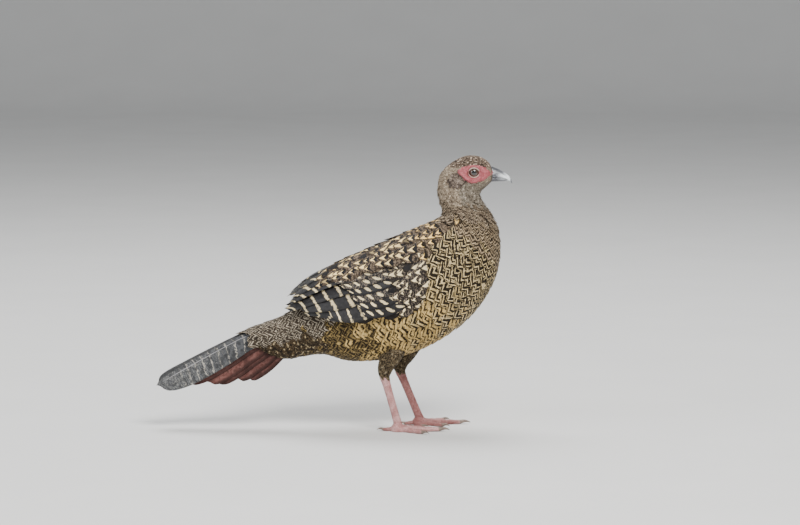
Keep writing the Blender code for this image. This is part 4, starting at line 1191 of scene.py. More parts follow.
# Rows of long wing feathers: kind, count, turn in degrees of the first and last, x of the roots, x of the
# tips of the first, middle and last, width, depth under the shell at x 80 and x -50, how far the lower edge
# stands out.
WING_ROWS = [
    ("primaries", 3, (93, 85), (34, 34), (-12, -24, -36), 19, (-9.6, -7.4), 1.0),
    ("secondaries", 3, (82, 50), (62, 60), (-6, -39, -53), 42, (-6.8, -4.2), 2.6),
    ("tertials", 3, (36, 13), (60, 50), (-49, -44, -35), 34, (-4.2, -1.6), 1.9),
    ("greater_coverts", 7, (89, 39), (84, 72), (36, 18, -6), 21, (-4.8, 1.6), 1.5),
]


def make_wing_rows(which, seed):
    """The flight feathers and larger coverts: strips along the shell, x from root to tip, turn spread to each
    side of the shaft, and depth rising towards the tip with the lower edge proud of the upper."""
    chance = np.random.default_rng(seed)
    rows, columns = 26, 9
    t = vane_rows(rows, 1.25)
    outline = vane_outline(t, 0.5, 0.55, 0.12, 2.3)[:, None]
    share = np.linspace(-1, 1, columns)
    for label, count, turns, roots, tips, width, depths, tilt in WING_ROWS:
        k = np.linspace(0, 1, count)
        centre = np.radians(turns[0] + (turns[1] - turns[0]) * k)[:, None]
        root = roots[0] + (roots[1] - roots[0]) * k
        tip = np.interp(k, (0, 0.5, 1), tips) + chance.uniform(-1.2, 1.2, count)
        wide = width * chance.uniform(0.95, 1.05, count)
        x = root[:, None] + (tip - root)[:, None] * t
        half, _, high = wing_slice(x)
        rate = np.hypot(half * np.cos(centre), high * np.sin(centre))
        b = centre[..., None] + share * outline * (wide / 2)[:, None, None] / rate[..., None]
        bow = (1 - np.abs(share)) ** 1.4 * t[:, None] ** 4 * 3.0
        a = x[..., None] - bow + chance.uniform(-0.25, 0.25, (count, rows, columns)) * t[:, None] ** 2
        depth = np.interp(-x, (-80.0, 50.0), depths)
        if which == "left" and label == "tertials":
            depth = depth + 4.5 * (1 - step(x, -46, 12))
        crown = 0.45 * np.sin(np.pi * t)[:, None] * (1 - share**2)
        height = depth[..., None] + tilt * outline * share + crown
        kind = "large covert" if "coverts" in label else "flight feather"
        build_vanes(f"{label}_{which}", wing_surface, a, b, height, WING_STEPS, 0.3,
                    vane_sizes(root - tip, wide, chance), kind, WING_SLOT, mirror=SIDES[which])


def make_wing_cover(which, seed, label, kind, turns, x_range, sizes, levels, plan):
    """Small feathers over the shell in columns, as WING_COVERS says."""
    chance = np.random.default_rng(seed)
    spacing, long, wide = (lambda x, pair=pair: np.interp(x, x_range, pair) for pair in sizes)
    roots, places, run = lay_roots(wing_surface, np.radians(turns), *x_range, spacing, seed)
    x, turn, _ = roots.T
    length = long(x) * chance.uniform(0.92, 1.08, len(roots))
    width = wide(x) * chance.uniform(0.93, 1.07, len(roots))
    low, high = levels(x, turn, 0), levels(x - length, turn, 1)
    a, b, height = coat_vanes(wing_surface, roots, places, run, length, width, low, high, plan, chance)
    build_vanes(f"{label}_{which}", wing_surface, a, b, height, WING_STEPS, 0.18,
                vane_sizes(length, width, chance), kind, WING_SLOT, mirror=SIDES[which])


def arm_level(x, turn):
    """Depth under the shell of the wing's arm: sunk at the front, upper and lower edge and behind."""
    edge_depth, front_depth, rear_depth = 5.5, 2.6, 7.2
    along = np.clip((119 - x) / 109, 0, 1)
    across = np.clip((turn - math.radians(33)) / math.radians(68), 0, 1)
    rear = rear_depth * (3 - 2 * along) * along**2
    return -edge_depth * np.abs(2 * across - 1) ** 3 - front_depth * (1 - along) ** 5 - rear


def lesser_levels(x, turn, end):
    return arm_level(x, turn) + (0.9 if end else -1.2)


def shoulder_levels(x, turn, end):
    base = -2.6 * (1 - step(turn, 0.1, 0.42)) - 2.0 * step(x, 92, 114) - 1.2 * (1 - step(x, -20, 16))
    return base + (1.1 if end else -2.2)


# Small feathers of the wing: label, kind, turns of the columns in degrees, x of the rear and front end, the
# spacing, length and width there, the height of root and tip, and rows and columns of points of a feather.
WING_COVERS = [
    ("lesser_coverts", "wing covert plumage", np.arange(39, 96, 7.0), (36, 119),
     ((11.5, 7.0), (25, 15), (15, 12)), lesser_levels, (10, 9)),
    ("shoulder_feathers", "shoulder plumage", np.arange(9, 48, 7.6), (6, 114),
     ((13.5, 10.5), (30, 24), (18, 15)), shoulder_levels, (11, 9)),
]


def make_wing_arm(which):
    """The arm of the wing under its coverts: a closed plate on the shell with smooth thin edges."""
    steps, turns, cover_gap, arm_depth = 60, 50, 1.6, 10.5
    front, length, top, spread = 117.0, 104.0, math.radians(35), math.radians(62)
    along, across = np.meshgrid(np.linspace(0, 1, steps), np.linspace(0, 1, turns), indexing="ij")
    x, turn = front - length * along, top + spread * across
    normal = normals_of(wing_surface, x, turn, *WING_STEPS)
    shell = wing_surface(x, turn)
    sense = np.sign(np.sum(normal[..., 1] * shell[..., 1]))
    outer = shell + normal * sense * (arm_level(x, turn) - cover_gap)[..., None]
    inner = shell - normal * sense * arm_depth
    points = np.stack([outer, inner]).reshape(-1, 3) * (1, SIDES[which], 1)
    make_closed_piece(f"wing_arm_{which}", points, vane_plan(steps, turns)[0], UNDER_PLUMAGE, WING_SLOT,
                      [f"wing_{which}"])


# The tail


def make_tail_feathers(which, seed):
    """The seven tail feathers of a side on the tail's roof, each a layer further in than the one above."""
    start, layer_depth, tip_bow = 30, 1.4, 5.0
    chance = np.random.default_rng(seed)
    rows, columns = 40, 13
    t = vane_rows(rows, 1.2)
    down = t[:, None]
    outline = vane_outline(t, 0.5, 0.6, 0.10, 2.4)[:, None]
    share = np.linspace(-1, 1, columns)
    for kind, chosen in (("tail centre feather", [0]), ("tail outer feather", [1, 2, 3, 4, 5, 6])):
        length, root, tip, above, below = TAIL_FEATHERS[chosen].T
        along = start + (length - start)[:, None] * t
        shaft = root[:, None] + (tip - root)[:, None] * along / length[:, None]
        web = np.where(share < 0, share * above[:, None], share * below[:, None])
        b = shaft[..., None] + outline * web[:, None, :]
        bow = (1 - np.abs(share)) ** 1.3 * down**4 * tip_bow
        ragged = chance.uniform(-0.3, 0.3, (len(chosen), rows, columns)) * down**3
        a = along[..., None] - tip_bow * down**4 + bow + ragged
        layer = np.array(chosen) + (0.3 if which == "left" and 0 in chosen else 0.0)
        height = -layer_depth * layer[:, None, None] + 0.5 * (1 - share**2) * outline - 0.3
        sizes = vane_sizes(length, above + below, chance)
        build_vanes(f"{kind.replace(' ', '_')}s_{which}", tail_surface, a, b, height, (0.3, 0.1), 0.35, sizes,
                    kind, "tail_plumage", ["tail"], -1.0, SIDES[which])


# Head

BILL_BASE = 185.6
# Bill halves: distance from the base, top z, lower z, half width.
UPPER_BILL = [(-3, 303, 289.9, 6.6), (0, 301.8, 290.2, 6.3), (5, 299.6, 290.3, 5.6), (9.5, 297.2, 289.9, 4.8),
              (14, 294.2, 288.6, 3.8), (17.4, 291.2, 286.4, 2.7), (19.6, 287.9, 284.2, 1.5),
              (20.7, 284.7, 283, 0.6)]
LOWER_BILL = [(-3, 290, 285, 5.9), (0, 290.2, 285.3, 5.6), (5, 290.2, 285.6, 4.9), (9.5, 289.8, 285.7, 4),
              (13, 288.7, 285.7, 2.9), (15.8, 286.9, 285.8, 1.4)]
# Half the length and height of the opening between the lids, and how far their middle line lies outside it.
EYE_OPENING, LID_REACH = (5.4, 4.7), 0.62
CORNEA_BULGE = 0.35


def head_side(x, z):
    """Half width of the head at a place seen from the side: start at the nearest of a grid of the head's
    points, then Newton's steps on row and turn until x and z agree."""
    small = 0.01

    def seen(row, turn):
        return body_surface(row, turn)[:, [0, 2]]

    rows, turns = np.meshgrid(np.linspace(18.5, 27.8, 34), np.linspace(0.05, math.pi - 0.05, 30))
    rows, turns = rows.T.ravel(), turns.T.ravel()
    grid = seen(rows, turns)
    want = np.stack([x.ravel(), z.ravel()], 1)
    far = (((part[:, None] - grid) ** 2).sum(-1) for part in np.array_split(want, 12))
    near = np.concatenate([np.argmin(part, 1) for part in far])
    row, turn = rows[near], turns[near]
    for _ in range(7):
        here = seen(row, turn)
        row_x, row_z = ((seen(row + small, turn) - here) / small).T
        turn_x, turn_z = ((seen(row, turn + small) - here) / small).T
        miss_x, miss_z = (want - here).T
        det = row_x * turn_z - row_z * turn_x
        det = np.where(np.abs(det) < 0.5, np.sign(det + 1e-9) * 0.5, det)
        more_row = (miss_x * turn_z - miss_z * turn_x) / det
        more_turn = (row_x * miss_z - row_z * miss_x) / det
        row = np.clip(row + np.clip(more_row, -0.4, 0.4), 18, 28)
        turn = np.clip(turn + np.clip(more_turn, -0.3, 0.3), 0.02, math.pi - 0.02)
    return np.abs(body_surface(row, turn)[:, 1]).reshape(x.shape)


def eye_level(reach):
    """How far out the eyeball's surface lies at a distance from its axis."""
    return EYE_Y + np.sqrt(np.maximum(EYE_R**2 - reach**2, 0.0))


def make_face(which):
    """Bare skin: rings from the lid to the edge of the patch with rounded bumps from the product of two bent
    sine waves, furrows round the eye, and a thin closed back."""
    rings, spokes = 84, 224
    share, turn = ring_grid(0, 1, rings, spokes)
    c, s = np.cos(turn), np.sin(turn)
    edge = 1 / face_distance(c, s)
    inner = 1 / np.hypot(c / (EYE_OPENING[0] + 0.6), s / (EYE_OPENING[1] + 0.6))
    reach = inner + (edge * 1.07 - inner) * share
    x = EYE_X + reach * c
    z = EYE_Z + reach * s + face_rise(x)
    uneven = 0.05 * np.sin(5 * turn + 1) + 0.035 * np.sin(11 * turn) + 0.03 * np.sin(23 * turn + 2)
    rim = step(share + uneven * step(share, 0.5, 0.8), 0.74, 0.96)
    level = head_side(x, z) + 0.5 * (1 - rim) - 1.1 * rim
    near = 1 - step(reach - inner, 0.0, 3.6)
    level = level - near * (level - eye_level(inner) - 0.35)
    u, v = x * 2.5 + 0.9 * np.sin(z * 0.9 + x * 0.35), z * 2.5 + 0.9 * np.sin(x * 0.8 - z * 0.4)
    bumps = np.abs(np.sin(u) * np.sin(v)) ** 0.6
    furrow = np.cos((reach - inner) * 4.2 + 0.5 * np.sin(turn * 5)) * (1 - step(reach - inner, 1.5, 4.0))
    level = level + 0.34 * bumps * (1 - near) * (1 - rim) + 0.12 * furrow * (1 - rim)
    under = level - 0.9 - 0.3 * (1 - near)
    points = np.concatenate([np.stack([x, level, z], -1), np.stack([x, under, z], -1)[::-1]])
    make_closed_piece(f"bare_face_{which}", points.reshape(-1, 3) * (1, SIDES[which], 1),
                      wrapped_quads(2 * rings, spokes), "bare face skin", "bare_skin", [f"face_{which}"])


def make_lids(which):
    """Both lids as one ring that hugs the eyeball, thicker above, with fine folds running round it."""
    steps, around = 220, 28
    turn, roll = ring_grid(0, FULL_TURN * (1 - 1 / steps), steps, around)
    c, s = np.cos(turn), np.sin(turn)
    pinch = 0.25 * np.abs(c) ** 6
    thick = 0.74 + 0.12 * step(s, -0.1, 0.6) + 0.03 * np.sin(turn * 46) + 0.02 * np.sin(roll * 5 + turn * 3)
    wide, tall = EYE_OPENING[0] + LID_REACH + pinch, EYE_OPENING[1] + LID_REACH - 0.15 * pinch
    centre = 1 / np.hypot(c / wide, s / tall)
    reach = centre + thick * np.cos(roll)
    y = eye_level(np.minimum(centre, 6.2)) + 0.15 + 0.85 * thick * np.sin(roll)
    points = np.stack([EYE_X + reach * c, SIDES[which] * y, EYE_Z + reach * s], -1)
    make_closed_piece(f"lids_{which}", points.reshape(-1, 3), wrapped_quads(steps, around), "eyelid skin",
                      "bare_skin", [f"face_{which}"])


def make_eye(which):
    """The eyeball: a sphere with its poles on the axis of sight and a slight bulge of the cornea."""
    pole, rings, around = 0.04, 48, 72
    tilt, turn = ring_grid(pole, math.pi - pole, rings, around)
    radius = EYE_R + CORNEA_BULGE * (1 - step(tilt, 0.3, 0.8))
    out = radius * np.sin(tilt)
    ball = np.stack([out * np.cos(turn), radius * np.cos(tilt), out * np.sin(turn)], -1)
    points, quads = tubes([ball], np.array([(0, EYE_R + CORNEA_BULGE, 0), (0, -EYE_R, 0)]))
    points = (points + (EYE_X, EYE_Y, EYE_Z)) * (1, SIDES[which], 1)
    make_closed_piece(f"eyeball_{which}", points, quads, "eye", "eye", [f"eye_{which}"])


def make_bill(name, table):
    """One half of the bill: the spline of its table along x, an arch of cos(turn) ** 0.8 across, a hollow
    palate or flat floor on the mouth's side, and a nostril slit under a swollen flap on the upper half."""
    rings, around = 130, 96
    t, turn = ring_grid(0, len(table) - 1, rings, around)
    along, high, low, half = np.moveaxis(spline(table, t), -1, 0)
    tall, up = high - low, np.cos(turn)
    above, below = np.maximum(up, 0), np.maximum(-up, 0)
    y = half * np.sin(turn) * (1 - 0.06 * np.sin(2 * np.abs(turn - math.pi)) ** 2)
    if name == "upper":
        z = low + np.where(up > 0, tall * above**0.8, 0.35 * tall * below)
        slit = np.exp(-(((along - 5.0) / 1.7) ** 2) - ((z - 294.0 + 0.12 * (along - 5)) / 0.5) ** 2)
        flap = np.exp(-(((along - 4.2) / 2.6) ** 2) - ((z - 295.7) / 1.1) ** 2)
        ridge = np.exp(-((turn / 0.35) ** 2)) + np.exp(-(((turn - FULL_TURN) / 0.35) ** 2))
        y = y + np.sign(y) * (0.45 * flap - 1.0 * slit) * step(up, -0.02, 0.05)
        z = z + 0.12 * ridge * step(along, 0, 4)
    else:
        z = high - np.where(up > 0, 0.15 * tall * above, tall * below**0.8)
    line = 0.05 * np.sin(along * 5.0 + 2 * np.cos(turn)) * step(along, 3, 8)
    points, quads = tubes([np.stack([BILL_BASE + along, y * (1 + line / np.maximum(half, 1)), z], -1)])
    points[-1, 0] += 0.1
    make_closed_piece(f"{name}_bill", points, quads, "bill horn", "horn", [f"bill_{name}"])


# Legs and feet

SHANK_FORE, SHANK_SIDE, ANKLE_HEIGHT = 4.5, 3.5, 8.5
# Plates of the shank and the toes: spacing, rows, and the turn that they reach to.
SHANK_PLATES, TOE_PLATES = (4.1, 2, 1.15), (2.6, 1, 1.0)
LEG_CELL = 0.42
# Foot pad: height, centre ahead of the ankle, half length, half width.
PAD_RINGS = [(9.6, -0.6, 4.4, 3.6), (8.2, 0.0, 5.6, 4.6), (6.4, 1.4, 8.2, 7.0), (4.0, 2.5, 10.4, 9.2),
             (1.2, 2.5, 10.6, 9.4), (0.0, 2.5, 9.6, 8.6)]
# Toes: distance of the root and of the end from the ankle, turn outwards in degrees, half width, claw length.
TOES = {
    "middle": (10.8, 48.0, 3.0, 3.5, 11.5),
    "inner": (10.8, 34.0, -37.0, 3.1, 10.0),
    "outer": (10.8, 37.0, 41.0, 3.1, 10.0),
    "hind": (6.6, 17.0, 188.0, 2.5, 7.5),
}
TOE_HEIGHT = 3.0


def ankle_point(which):
    return leg_point(which, 1 - ANKLE_HEIGHT / LEGS[which][0][1]) * (1, 1, 0)


def toe_shape(which, toe, share):
    """Middle line, half thickness and the forward and sideways direction of a toe at shares of its length:
    level, with a swelling at each joint."""
    root, length, turn, half, _ = TOES[toe]
    angle = math.radians(turn) * SIDES[which]
    way = np.array([math.cos(angle), math.sin(angle), 0.0])
    centre = ankle_point(which) + way * (root + (length - root) * share)[..., None]
    centre[..., 2] = TOE_HEIGHT + (half * 0.8 - TOE_HEIGHT) * np.clip(share * 2.2, 0, 1)
    joints = 1 + 0.08 * np.cos(share * FULL_TURN * (3 if toe != "hind" else 2))
    return centre, half * (1 - 0.3 * share) * joints, way, np.cross((0, 0, 1.0), way)


def shank_frame(which):
    """Heel, sole, the direction down the shank and the one ahead of it."""
    heel, sole = leg_point(which, 0), leg_point(which, 1)
    way = (sole - heel) / np.linalg.norm(sole - heel)
    return heel, sole, way, np.cross((0.0, -1.0, 0.0), way)


def leg_shells(which):
    """Closed shells of the shank, foot pad and toes, overlapping so that they can be fused."""
    turns = np.linspace(0, FULL_TURN, 48, endpoint=False)
    heel, sole, _, ahead = shank_frame(which)
    share = np.linspace(-0.06, 1 - 4.0 / LEGS[which][0][1], 90)
    ends = 1.3 * np.exp(-np.clip(share - 0.1, 0, 1) * 9) + 1.0 * np.exp(-np.clip(0.93 - share, 0, 1) * 9)
    narrow = 0.72 + 0.28 * step(share, -0.02, 0.08)
    fore, side = (SHANK_FORE + ends - 0.25) * narrow, (SHANK_SIDE + ends - 0.25) * narrow
    middle = heel + (sole - heel) * share[:, None]
    shank = middle[:, None] + (np.cos(turns) * fore[:, None])[..., None] * ahead
    shank[..., 1] += np.sin(turns) * side[:, None]
    pad = spline(PAD_RINGS, np.linspace(0, len(PAD_RINGS) - 1, 26))
    ring = [pad[:, 1:2] + pad[:, 2:3] * np.cos(turns), pad[:, 3:4] * np.sin(turns), pad[:, :1] + 0 * turns]
    shells = [shank, np.stack(ring, -1) + ankle_point(which)]
    for toe in TOES:
        share = np.linspace(-0.28, 1.0, 70)
        centre, size, _, across = toe_shape(which, toe, share)
        size = size * np.sqrt(np.clip(1 - np.clip((share - 0.9) / 0.13, 0, 1) ** 2, 0.02, 1))
        rings = centre[:, None] + (np.sin(turns) * size[:, None])[..., None] * across
        rings[..., 2] += np.cos(turns) * (size * np.linspace(1.1, 0.95, 70))[:, None]
        rings[..., 2] = np.maximum(rings[..., 2], 0.0)
        shells.append(rings)
    return shells


def plate_height(distance, turn, spacing, rows, reach):
    """Overlapping plates in mm: each rises to its lower edge and drops to the next, in one or two rows in
    front out to a turn, with small rounded scales beyond."""
    inward = np.abs(turn)
    plate = distance / spacing + (0.5 * (turn > 0) if rows == 2 else 0.0)
    part = plate - np.floor(plate)
    lip = 0.42 * part**1.5 * (1 - step(part, 0.9, 1.0)) - 0.12 * (1 - step(part, 0, 0.12))
    seam = np.exp(-((inward / 0.10) ** 2)) if rows == 2 else 0.0
    small_row = distance / (spacing * 0.55)
    column = turn * 3.4 + 0.5 * (np.floor(small_row) % 2)
    cell = np.sin(np.pi * (small_row % 1.0)) * np.abs(np.sin(np.pi * column))
    front = 1 - step(inward, reach - 0.12, reach + 0.12)
    return front * (lip - 0.22 * seam) + (1 - front) * 0.26 * np.sqrt(np.maximum(cell, 0))


def make_leg(which):
    """Shank, pad and toes fused into one skin over a fine grid of cells, smoothed, and raised in plates."""
    toes = [f"toe_{toe}_{which}" for toe in TOES]
    made = make_piece(f"leg_{which}", *tubes(leg_shells(which)), "leg scales", "leg_scales",
                      [f"shank_{which}", f"foot_{which}", *toes])
    fuse = made.modifiers.new("fuse", "REMESH")
    fuse.mode, fuse.voxel_size = "VOXEL", LEG_CELL * MM
    even = made.modifiers.new("even", "SMOOTH")
    even.factor, even.iterations = 0.5, 7
    mesh = bake_modifiers(made, "leg scales")
    place = read_points(mesh) / MM
    outward_faces(mesh)
    normal = np.empty(len(mesh.vertices) * 3, np.float32)
    mesh.vertex_normals.foreach_get("vector", normal)
    heel, _, way, ahead = shank_frame(which)
    down = (place - heel) @ way
    reach = place - heel - down[:, None] * way
    nearest = np.linalg.norm(reach, axis=1) / 5.0
    turn = np.arctan2(reach[:, 1] / SHANK_SIDE, reach @ ahead / SHANK_FORE)
    rise = plate_height(down, turn, *SHANK_PLATES)
    for toe, (root, length, _, half, _) in TOES.items():
        _, _, toe_way, across = toe_shape(which, toe, np.zeros(1))
        forward = (place - ankle_point(which)) @ toe_way
        off = place - toe_shape(which, toe, np.clip((forward - root) / (length - root), 0, 1))[0]
        off_side, off_up = off @ across, off[:, 2]
        far = np.hypot(off_side, off_up) / half + np.where(forward < 2, 4.0, 0.0)
        toe_rise = plate_height(forward, np.arctan2(off_side, off_up), *TOE_PLATES)
        rise = np.where(far < nearest, toe_rise * 0.8, rise)
        nearest = np.minimum(nearest, far)
    place = place + normal.reshape(-1, 3) * (rise - 0.05)[:, None]
    place[:, 2] = np.maximum(place[:, 2], 0.0)
    mesh.vertices.foreach_set("co", (place * MM).ravel())
    mesh.update()
    mesh.shade_smooth()


def make_claws(which):
    """Curved claws: a line bent by 1.6 sin(2.2 b) - 1.9 b squared over b from 0 to 1, tapering to the tip."""
    turns = np.linspace(0, FULL_TURN, 24, endpoint=False)
    b = np.linspace(-0.28, 1, 30)
    ahead = np.clip(b, 0, 1)
    narrow = 1 - 0.25 * np.clip(-np.cos(turns), 0, 1)
    shells = []
    for toe, (_, _, _, half, claw) in TOES.items():
        centre, _, way, across = toe_shape(which, toe, np.ones(1))
        line = centre[0] + way * (claw * b)[:, None]
        line[:, 2] += 1.6 * np.sin(ahead * 2.2) - 1.9 * ahead**2
        thick = (half * 0.62 * (1 - 0.86 * ahead**1.1))[:, None]
        tube = line[:, None] + (np.sin(turns) * narrow * thick * 0.92)[..., None] * across
        tube[..., 2] = np.maximum(tube[..., 2] + np.cos(turns) * thick * 1.12, 0.0)
        shells.append(tube)
    nodes = [f"claw_{toe}_{which}" for toe in TOES]
    make_closed_piece(f"claws_{which}", *tubes(shells), "claw horn", "claw", nodes)


# Stage

# The floor in metres: half its width, which is also how far it comes forward, where it starts to bend up,
# the bend's radius and the wall's height, then the points of the level part, the bend and the wall.
FLOOR_HALF, FLOOR_BACK, FLOOR_BEND, WALL_HEIGHT = 9.0, 5.4, 1.2, 6.0
LEVEL_POINTS, BEND_POINTS, WALL_POINTS = 20, 24, 16
# Lights: place, height that they point at, size, share of the key light's power, colour.
LIGHTS = {
    "key light": ((0.9, -2.3, 2.6), 0.18, 1.6, 1.0, (1.0, 0.98, 0.95)),
    "fill light": ((-2.6, -1.6, 1.3), 0.16, 2.2, 0.25, (0.95, 0.98, 1.0)),
    "top light": ((-0.2, 1.2, 2.8), 0.2, 1.8, 0.5, (1.0, 1.0, 1.0)),
}
AIR_COLOUR = (0.93, 0.96, 1.0, 1.0)
CAMERA_TARGET, SENSOR_WIDTH = (0.0776, 0.0, 0.192), 36.0


def make_floor():
    """A level strip, a quarter circle up and an upright wall, all one profile drawn out sideways."""
    bend = np.linspace(0, math.pi / 2, BEND_POINTS)
    level = np.linspace(-FLOOR_HALF, FLOOR_BACK, LEVEL_POINTS)
    wall = np.linspace(FLOOR_BEND, WALL_HEIGHT, WALL_POINTS)
    y = np.concatenate([level, FLOOR_BACK + FLOOR_BEND * np.sin(bend), 0 * wall + FLOOR_BACK + FLOOR_BEND])
    z = np.concatenate([0 * level, FLOOR_BEND * (1 - np.cos(bend)), wall])
    points = np.concatenate([np.stack([np.full(len(y), x), y, z], -1) for x in (-FLOOR_HALF, FLOOR_HALF)])
    k = np.arange(len(y) - 1)
    quads = np.stack([k, k + len(y), k + len(y) + 1, k + 1], -1)
    floor = link_mesh("floor", points / MM, quads, "pale floor")


def make_stage(settings):
    """A pale floor that curves up into a backdrop, three soft lights and the camera."""
    make_floor()
    for name, (place, height, size, share, colour) in LIGHTS.items():
        add_light(name, place, height, size, settings.key_power * share, colour)
    world = bpy.data.worlds.new("studio air")
    world.use_nodes = True
    inputs = world.node_tree.nodes["Background"].inputs
    inputs[0].default_value, inputs[1].default_value = AIR_COLOUR, settings.air_light
    bpy.context.scene.world = world
    add_camera(settings)


def place_aimed(name, data, place, target):
    """A light or camera at a place, its -Z axis pointed at the target and its X axis level."""
    made = bpy.data.objects.new(name, data)
    made.location = place
    bpy.context.scene.collection.objects.link(made)
    x, y, z = (target[k] - made.location[k] for k in range(3))
    made.rotation_euler = (math.atan2(math.hypot(x, y), -z), 0.0, math.atan2(y, x) - math.pi / 2)
    return made


def add_light(name, place, target_height, size, power, colour):
    light = bpy.data.lights.new(name, "AREA")
    light.shape, light.size, light.energy, light.color = "DISK", size, power, colour
    place_aimed(name, light, place, (0.0, 0.0, target_height))


def add_camera(settings):
    """Long lens at the photograph's low angle, square to the bird's right side."""
    lens = bpy.data.cameras.new("camera")
    lens.lens, lens.sensor_width = settings.lens, SENSOR_WIDTH
    angle, far, (x, y, z) = settings.elevation, settings.distance, CAMERA_TARGET
    place = (x, y - far * math.cos(angle), z + far * math.sin(angle))
    bpy.context.scene.camera = place_aimed("camera", lens, place, CAMERA_TARGET)


# Settings


class PheasantCoatSettings(bpy.types.PropertyGroup):
    """Sizes of the coat."""

    columns: bpy.props.IntProperty(name="Columns", description="Columns of feathers round the body",
                                   default=60, min=24)
    seed: bpy.props.IntProperty(name="Seed", description="Start of the random numbers", default=11)


def colour_setting(name, description, default):
    return bpy.props.FloatVectorProperty(name=name, description=description, default=default, subtype="COLOR",
                                         size=3, min=0.0, max=1.0)


class PheasantColourSettings(bpy.types.PropertyGroup):
    """Colours of the plumage, bare skin and horn."""

    buff: colour_setting("Buff", "Ground of the breast feathers", (0.52, 0.405, 0.215))
    cream: colour_setting("Cream", "Arrowheads and bars of the back and wings", (1.0, 0.82, 0.485))
    ochre: colour_setting("Ochre", "Ground of the flank feathers", (0.44, 0.305, 0.115))
    dark: colour_setting("Dark Marks", "Marks of the body feathers", (0.011, 0.007, 0.0035))
    ink: colour_setting("Wing Black", "Ground of the wing feathers", (0.012, 0.011, 0.012))
    face: colour_setting("Face", "Bare skin round the eye", (0.31, 0.042, 0.052))
    horn: colour_setting("Bill", "Pale horn of the bill", (0.80, 0.84, 0.86))
    # The leg colour is painted light: the pale tone of the legs' outer, lit sides.
    leg: colour_setting("Legs", "Worn outer scales of the legs", (0.48, 0.215, 0.205))


class PheasantStageSettings(bpy.types.PropertyGroup):
    """Lights and camera."""

    key_power: bpy.props.FloatProperty(name="Key Light", description="Power of the main light", default=163.0,
                                       unit="POWER")
    air_light: bpy.props.FloatProperty(name="Air Light", description="Strength of the light from all round",
                                       default=0.32)
    lens: bpy.props.FloatProperty(name="Lens", description="Focal length in millimetres", default=180.0)
    distance: bpy.props.FloatProperty(name="Distance", description="Camera's distance", default=4.6,
                                      unit="LENGTH")
    elevation: bpy.props.FloatProperty(name="Elevation", description="Camera's angle above level",
                                       default=math.radians(6.0), subtype="ANGLE")


# Operators

# Steps from the coat's seed to the seeds of the other parts.
THIGH_SEED, WING_SEED, COVER_SEEDS, TAIL_SEED = 40, 60, (70, 80), 90
# Rings and points round of the skin, columns of small and of broad feathers as shares of the setting, and
# rows and columns of points of a small and a broad feather.
SKIN_GRID, SMALL_COLUMNS, BROAD_COLUMNS = (300, 96), 1.3, 0.57
SMALL_PLAN, BROAD_PLAN = (7, 5), (9, 9)
BACK_KINDS = ["mantle plumage", "rump plumage"]
FRONT_KINDS = ["breast plumage", "collar plumage", "lower breast plumage"]
UNDER_KINDS = ["flank plumage", "rear flank plumage", "belly plumage"]
HEAD_KINDS = ["neck plumage", "head plumage", "crown plumage", "throat plumage", "ear plumage",
              "ear rim plumage"]


class PHEASANT_OT_materials(bpy.types.Operator):
    """Makes the materials of feathers, skin, horn and floor"""

    bl_idname = "pheasant.materials"
    bl_label = "Materials"

    def execute(self, context):
        make_materials(context.scene.pheasant_colours)
        return {"FINISHED"}


class PHEASANT_OT_skin(bpy.types.Operator):
    """Makes the skin of the body, neck, head and thighs"""

    bl_idname = "pheasant.skin"
    bl_label = "Skin"

    def execute(self, context):
        make_skin(*SKIN_GRID)
        return {"FINISHED"}


class PHEASANT_OT_face(bpy.types.Operator):
    """Makes the bare skin, lids and eyes of both sides"""

    bl_idname = "pheasant.face"
    bl_label = "Face and Eyes"

    def execute(self, context):
        for which in SIDES:
            make_face(which)
            make_lids(which)
            make_eye(which)
        return {"FINISHED"}


class PHEASANT_OT_bill(bpy.types.Operator):
    """Makes both halves of the bill"""

    bl_idname = "pheasant.bill"
    bl_label = "Bill"

    def execute(self, context):
        make_bill("upper", UPPER_BILL)
        make_bill("lower", LOWER_BILL)
        return {"FINISHED"}


class PHEASANT_OT_coat(bpy.types.Operator):
    """Lays the feathers of the head, neck, body and thighs"""

    bl_idname = "pheasant.coat"
    bl_label = "Body Feathers"

    def execute(self, context):
        columns, seed = context.scene.pheasant_coat.columns, context.scene.pheasant_coat.seed
        small, broad = round(columns * SMALL_COLUMNS), round(columns * BROAD_COLUMNS)
        make_body_coat(HEAD_KINDS, small, SMALL_PLAN, seed, "neck_plumage", pieces=3)
        make_body_coat(FRONT_KINDS, broad, BROAD_PLAN, seed, "plumage", pieces=2)
        make_body_coat(UNDER_KINDS, broad, BROAD_PLAN, seed, "plumage")
        make_body_coat(BACK_KINDS, broad, BROAD_PLAN, seed, "plumage")
        for which in SIDES:
            make_thigh_coat(which, seed + THIGH_SEED)
        return {"FINISHED"}


class PHEASANT_OT_wings(bpy.types.Operator):
    """Makes the folded wings and the shoulder feathers over them"""

    bl_idname = "pheasant.wings"
    bl_label = "Wings"

    def execute(self, context):
        for number, which in enumerate(SIDES):
            seed = context.scene.pheasant_coat.seed + number
            make_wing_arm(which)
            make_wing_rows(which, seed + WING_SEED)
            for seed_step, cover in zip(COVER_SEEDS, WING_COVERS):
                make_wing_cover(which, seed + seed_step, *cover)
        return {"FINISHED"}


class PHEASANT_OT_tail(bpy.types.Operator):
    """Makes the tail feathers of both sides"""

    bl_idname = "pheasant.tail"
    bl_label = "Tail"

    def execute(self, context):
        for number, which in enumerate(SIDES):
            make_tail_feathers(which, context.scene.pheasant_coat.seed + TAIL_SEED + number)
        return {"FINISHED"}


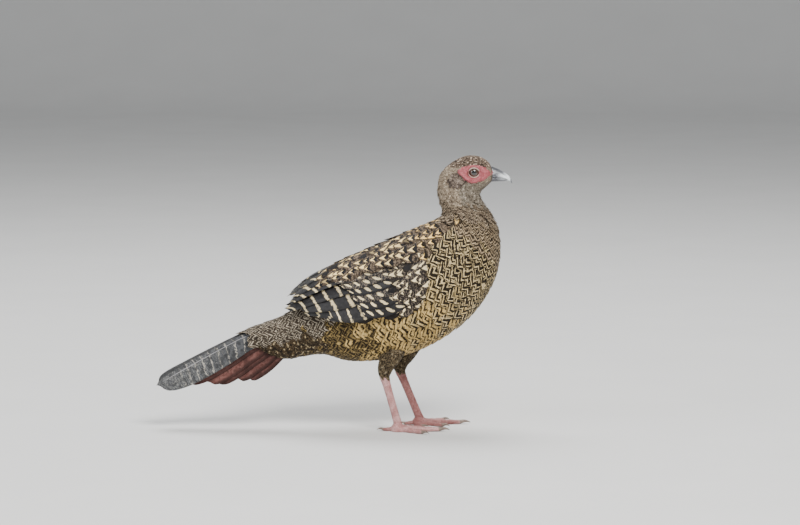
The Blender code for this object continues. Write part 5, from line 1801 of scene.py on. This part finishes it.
class PHEASANT_OT_legs(bpy.types.Operator):
    """Makes the scaled legs and the claws"""

    bl_idname = "pheasant.legs"
    bl_label = "Legs"

    def execute(self, context):
        for which in SIDES:
            make_leg(which)
            make_claws(which)
        return {"FINISHED"}


class PHEASANT_OT_stage(bpy.types.Operator):
    """Makes the floor, lights and camera"""

    bl_idname = "pheasant.stage"
    bl_label = "Stage"

    def execute(self, context):
        make_stage(context.scene.pheasant_stage)
        return {"FINISHED"}


OPERATORS = (PHEASANT_OT_materials, PHEASANT_OT_skin, PHEASANT_OT_face, PHEASANT_OT_bill, PHEASANT_OT_coat,
             PHEASANT_OT_wings, PHEASANT_OT_tail, PHEASANT_OT_legs, PHEASANT_OT_stage)


class PHEASANT_PT_maker(bpy.types.Panel):
    """Lists the steps of the model in the sidebar"""

    bl_label = "Hen Pheasant"
    bl_idname = "PHEASANT_PT_maker"
    bl_space_type = "VIEW_3D"
    bl_region_type = "UI"
    bl_category = "Pheasant"

    def draw(self, context):
        for key in SETTINGS:
            group = getattr(context.scene, key)
            box = self.layout.box()
            for name in group.__annotations__:
                box.prop(group, name)
        for operator in OPERATORS:
            self.layout.operator(operator.bl_idname)


SETTINGS = {
    "pheasant_coat": PheasantCoatSettings,
    "pheasant_colours": PheasantColourSettings,
    "pheasant_stage": PheasantStageSettings,
}
CLASSES = (*SETTINGS.values(), *OPERATORS, PHEASANT_PT_maker)


def register():
    for one in CLASSES:
        bpy.utils.register_class(one)
    for key, group in SETTINGS.items():
        setattr(bpy.types.Scene, key, bpy.props.PointerProperty(type=group))


def unregister():
    for key in SETTINGS:
        delattr(bpy.types.Scene, key)
    for one in reversed(CLASSES):
        bpy.utils.unregister_class(one)


def main():
    """Makes the whole model in order."""
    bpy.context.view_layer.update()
    register()
    bpy.ops.pheasant.materials()
    bpy.ops.pheasant.skin()
    bpy.ops.pheasant.face()
    bpy.ops.pheasant.bill()
    bpy.ops.pheasant.coat()
    bpy.ops.pheasant.wings()
    bpy.ops.pheasant.tail()
    bpy.ops.pheasant.legs()
    bpy.ops.pheasant.stage()
    bpy.context.view_layer.update()


if __name__ == "__main__":
    main()
